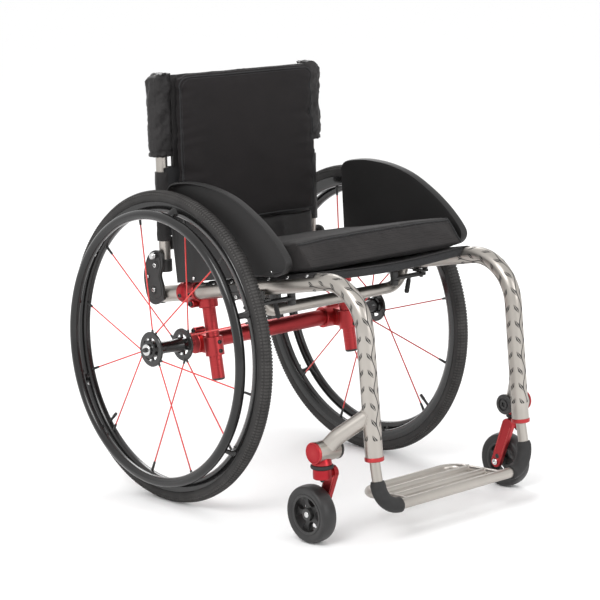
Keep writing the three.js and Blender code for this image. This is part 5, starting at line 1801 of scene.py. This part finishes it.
def make_back_hinges():
    outline = smooth_line(HINGE_OUTLINE, 6)[:-1]
    spread = side_plane
    for name, side in SIDES:
        cheek = Form()
        cheek.slab(outline, side * 0.2038, side * 0.2098, spread)
        inner_rib = [(y * 0.80 + 0.0172, z * 0.80 + 0.0824) for y, z in outline]
        cheek.slab(inner_rib, side * 0.2090, side * 0.2112, spread)
        piece(f"{name}_hinge_plate", cheek, SATIN_BLACK, "frame", [f"{name}_back_bracket"],
              bevel=0.0016)
        parts = Form()
        plug = place(side * FRAME_X, RAIL_TAIL, rail_z(RAIL_TAIL)) - RAIL_WAY * 0.0008
        parts.turned([(0, 0), (0.0172, 0), (0.0178, -0.0008), (0.0178, -0.013), (0.0168, -0.0142),
                      (0, -0.0142)], plug, RAIL_WAY, 44)
        parts.rod(place(side * 0.188, 0.100, 0.381), place(side * 0.2045, 0.100, 0.381), 0.0125, 36)
        parts.rod(place(side * 0.1735, CANE_BEHIND, PIVOT_Z), place(side * 0.2055, CANE_BEHIND, PIVOT_Z),
                  0.0039, 20)
        parts.turned([(0, 0.0035), (0.0062, 0.0033), (0.0084, 0.0020), (0.0090, 0), (0.0090, -0.003),
                      (0, -0.003)], place(side * 0.2100, CANE_BEHIND, PIVOT_Z), (side, 0, 0), 36)
        for y, z, radius in ((0.086, 0.388, 0.0075), (0.104, 0.412, 0.0062)):
            parts.turned([(radius - 0.0016, 0), (radius, 0), (radius, 0.0024), (radius - 0.0005, 0.003),
                          (radius - 0.0011, 0.003), (radius - 0.0016, 0.0024), (radius - 0.0016, 0)],
                         place(side * 0.2098, y, z), (side, 0, 0), 32)
        piece(f"{name}_hinge_bosses", parts, SATIN_BLACK, "frame")
        screws = Form()
        bolt(screws, place(side * 0.2098, 0.086, 0.388), (side, 0, 0), 0.0046, 0.0030)
        bolt(screws, place(side * 0.2098, 0.104, 0.412), (side, 0, 0), 0.0038, 0.0026)
        bolt(screws, place(side * 0.2135, CANE_BEHIND, PIVOT_Z), (side, 0, 0), 0.0044, 0.0016)
        piece(f"{name}_hinge_screws", screws, STEEL, "frame")
        latch = Form()
        spot = place(0, CANE_BEHIND + 0.002, PIVOT_Z + 0.018)
        start = side * (FRAME_X + CANE + 0.0012)
        base = Vector((start, spot.y, spot.z))
        latch.turned([(0, 0), (0.0024, 0), (0.0030, 0.0008), (0.0030, 0.0128), (0.0050, 0.0130),
                      (0.0060, 0.0140), (0.0060, 0.0155), (0.0054, 0.0162), (0.0060, 0.0169),
                      (0.0060, 0.0184), (0.0054, 0.0191), (0.0060, 0.0198), (0.0060, 0.0205),
                      (0.0050, 0.0215), (0, 0.0215)], base, (side, 0, 0), 36)
        piece(f"{name}_latch_knob", latch, STEEL, f"{name}_latch", [f"{name}_latch_pin"])


# ------------------------------------------------------------------ wheel locks
LOCK_AHEAD = 0.156
LOCK_PIVOT_AHEAD = 0.222
LOCK_PIVOT_X = 0.204
LOCK_Z = 0.399
LOCK_REACH = 0.073


def make_wheel_locks():
    for name, side in SIDES:
        seat = Form()
        centre = on_rail(side, LOCK_AHEAD)
        arc = []
        for radius in (0.0209, 0.0167):
            row = []
            for step in range(29):
                angle = math.radians(-205 + 230 * step / 28)
                row.append((radius * math.cos(angle), radius * math.sin(angle)))
            arc += row if radius == 0.0209 else row[::-1]
        spread = lambda a, b, d: centre + Vector((a, 0, 0)) + RAIL_NORMAL * b + RAIL_WAY * d
        seat.slab(arc, -0.018, 0.018, spread)
        strap = [(-LOCK_AHEAD + 0.014, 0.392), (-LOCK_AHEAD + 0.014, 0.410),
                 (-LOCK_PIVOT_AHEAD - 0.013, 0.424), (-LOCK_PIVOT_AHEAD - 0.013, LOCK_Z + 0.006),
                 (-LOCK_AHEAD - 0.016, LOCK_Z + 0.004)]
        seat.slab(strap, side * (FRAME_X + 0.0179), side * (FRAME_X + 0.0219), side_plane)
        seat.block(place(min(side * 0.191, side * 0.211), -LOCK_PIVOT_AHEAD - 0.013, LOCK_Z + 0.005),
                   place(max(side * 0.191, side * 0.211), -LOCK_PIVOT_AHEAD + 0.011, LOCK_Z + 0.009))
        seat.rod(place(side * LOCK_PIVOT_X, -LOCK_PIVOT_AHEAD, LOCK_Z - 0.007),
                 place(side * LOCK_PIVOT_X, -LOCK_PIVOT_AHEAD, LOCK_Z + 0.006), 0.0035, 20)
        piece(f"{name}_lock_mount", seat, SATIN_BLACK, "frame", [f"{name}_lock_clamp"],
              bevel=0.0009)
        screws = Form()
        for run in (-0.009, 0.009):
            bolt(screws, centre - RAIL_NORMAL * 0.0209 + RAIL_WAY * run, -RAIL_NORMAL, 0.0040, 0.0030)
        bolt(screws, place(side * LOCK_PIVOT_X, -LOCK_PIVOT_AHEAD, LOCK_Z + 0.009), (0, 0, 1), 0.0046, 0.0030)
        bolt(screws, place(side * (FRAME_X + 0.0219), -LOCK_AHEAD - 0.004, 0.404), (side, 0, 0), 0.0038,
             0.0026)
        piece(f"{name}_lock_screws", screws, STEEL, "frame")
        pivot = place(side * LOCK_PIVOT_X, -LOCK_PIVOT_AHEAD, LOCK_Z)
        arm = []
        for centre_x, radius, start in ((0, 0.009, 90), (LOCK_REACH, 0.0072, -90)):
            for step in range(13):
                angle = math.radians(start + 180 * step / 12)
                arm.append((centre_x + radius * math.cos(angle), radius * math.sin(angle)))
        lever = Form().slab([(-side * x, y) for x, y in arm], -0.0028, 0.0028, lambda x, y,
                            z: pivot + Vector((x, y, z)))
        reach = Vector((-side * LOCK_REACH, 0, 0))
        piece(f"{name}_lock_arm", lever, SATIN_BLACK, f"{name}_lock", [f"{name}_lock_lever"],
              bevel=0.0010)
        tip = Form()
        tip.turned([(0, -0.0130), (0.0068, -0.0130), (0.0078, -0.0120), (0.0078, -0.0034), (0.0066, -0.0030),
                    (0.0066, 0.0030), (0.0078, 0.0034), (0.0078, 0.0130), (0.0068, 0.0140), (0, 0.0140)],
                   pivot + reach, (0, 0, 1), 36)
        piece(f"{name}_lock_shoe", tip, SATIN_BLACK, f"{name}_lock")
        grip = Form()
        start = pivot + reach * 0.45 + Vector((0, 0, -0.002))
        end = pivot + reach * 0.56 + Vector((0, 0, -0.033))
        line = between(start, end, 12)
        grip.sweep(line,
                   [0.0034, 0.0036, 0.0040, 0.0048, 0.0044, 0.0049, 0.0044, 0.0049, 0.0044, 0.0049, 0.0046,
                    0.0030], 24)
        piece(f"{name}_lock_grip", grip, RUBBER, f"{name}_lock", smooth=60)


make_side_tubes()
make_cross_tube()
make_footrest()
make_bend_protectors()
make_footrest_collars()
make_caster_arms()
make_stem_housings()
make_caster_forks()
make_caster_wheels()
make_axle_mounts()
make_tyres()
make_wheels()
make_quick_release_axles()
make_seat_cushion()
make_seat_sling()
make_side_guards()
make_back_canes()
make_back_cushion()
make_back_upholstery()
make_back_hinges()
make_wheel_locks()


# ------------------------------------------------------------------ floor and light
def add_floor():
    mesh = bpy.data.meshes.new("floor")
    reach = 60
    mesh.from_pydata([(-reach, -reach, 0), (reach, -reach, 0), (reach, reach, 0), (-reach, reach, 0)], [],
                     [(0, 1, 2, 3)])
    finish = Finish("pale_floor", roughness=0.9)
    finish.shader.inputs["Base Color"].default_value = (0.94, 0.94, 0.94, 1)
    mesh.materials.append(finish.material)
    floor = bpy.data.objects.new("floor", mesh)
    bpy.context.scene.collection.objects.link(floor)
    floor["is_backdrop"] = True


def add_soft_light(name, spot, size, power, aim=(0, 0, 0.4)):
    data = bpy.data.lights.new(name, "AREA")
    data.shape = "RECTANGLE"
    data.size, data.size_y = size
    data.energy = power
    lamp = bpy.data.objects.new(name, data)
    way = Vector(spot) - Vector(aim)
    lamp.rotation_euler = way.to_track_quat("Z", "Y").to_euler()
    lamp.location = spot
    bpy.context.scene.collection.objects.link(lamp)


def add_studio():
    scene = bpy.context.scene
    world = bpy.data.worlds.new("studio")
    world.use_nodes = True
    sky = world.node_tree.nodes["Background"]
    sky.inputs["Color"].default_value = (1, 1, 1, 1)
    sky.inputs["Strength"].default_value = 1.06
    scene.world = world
    scene.view_settings.view_transform = "Standard"
    add_soft_light("key_light", (-2.6, -1.2, 2.9), (1.6, 1.6), 60)
    add_soft_light("front_light", (0.6, -3.4, 1.6), (1.2, 1.8), 25)
    add_soft_light("back_light", (1.8, 2.4, 2.2), (1.4, 1.4), 30)


add_floor()
add_studio()

low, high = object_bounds()
{"cad": [list(cad_low), list(cad_high)], "visual": [list(low), list(high)]}
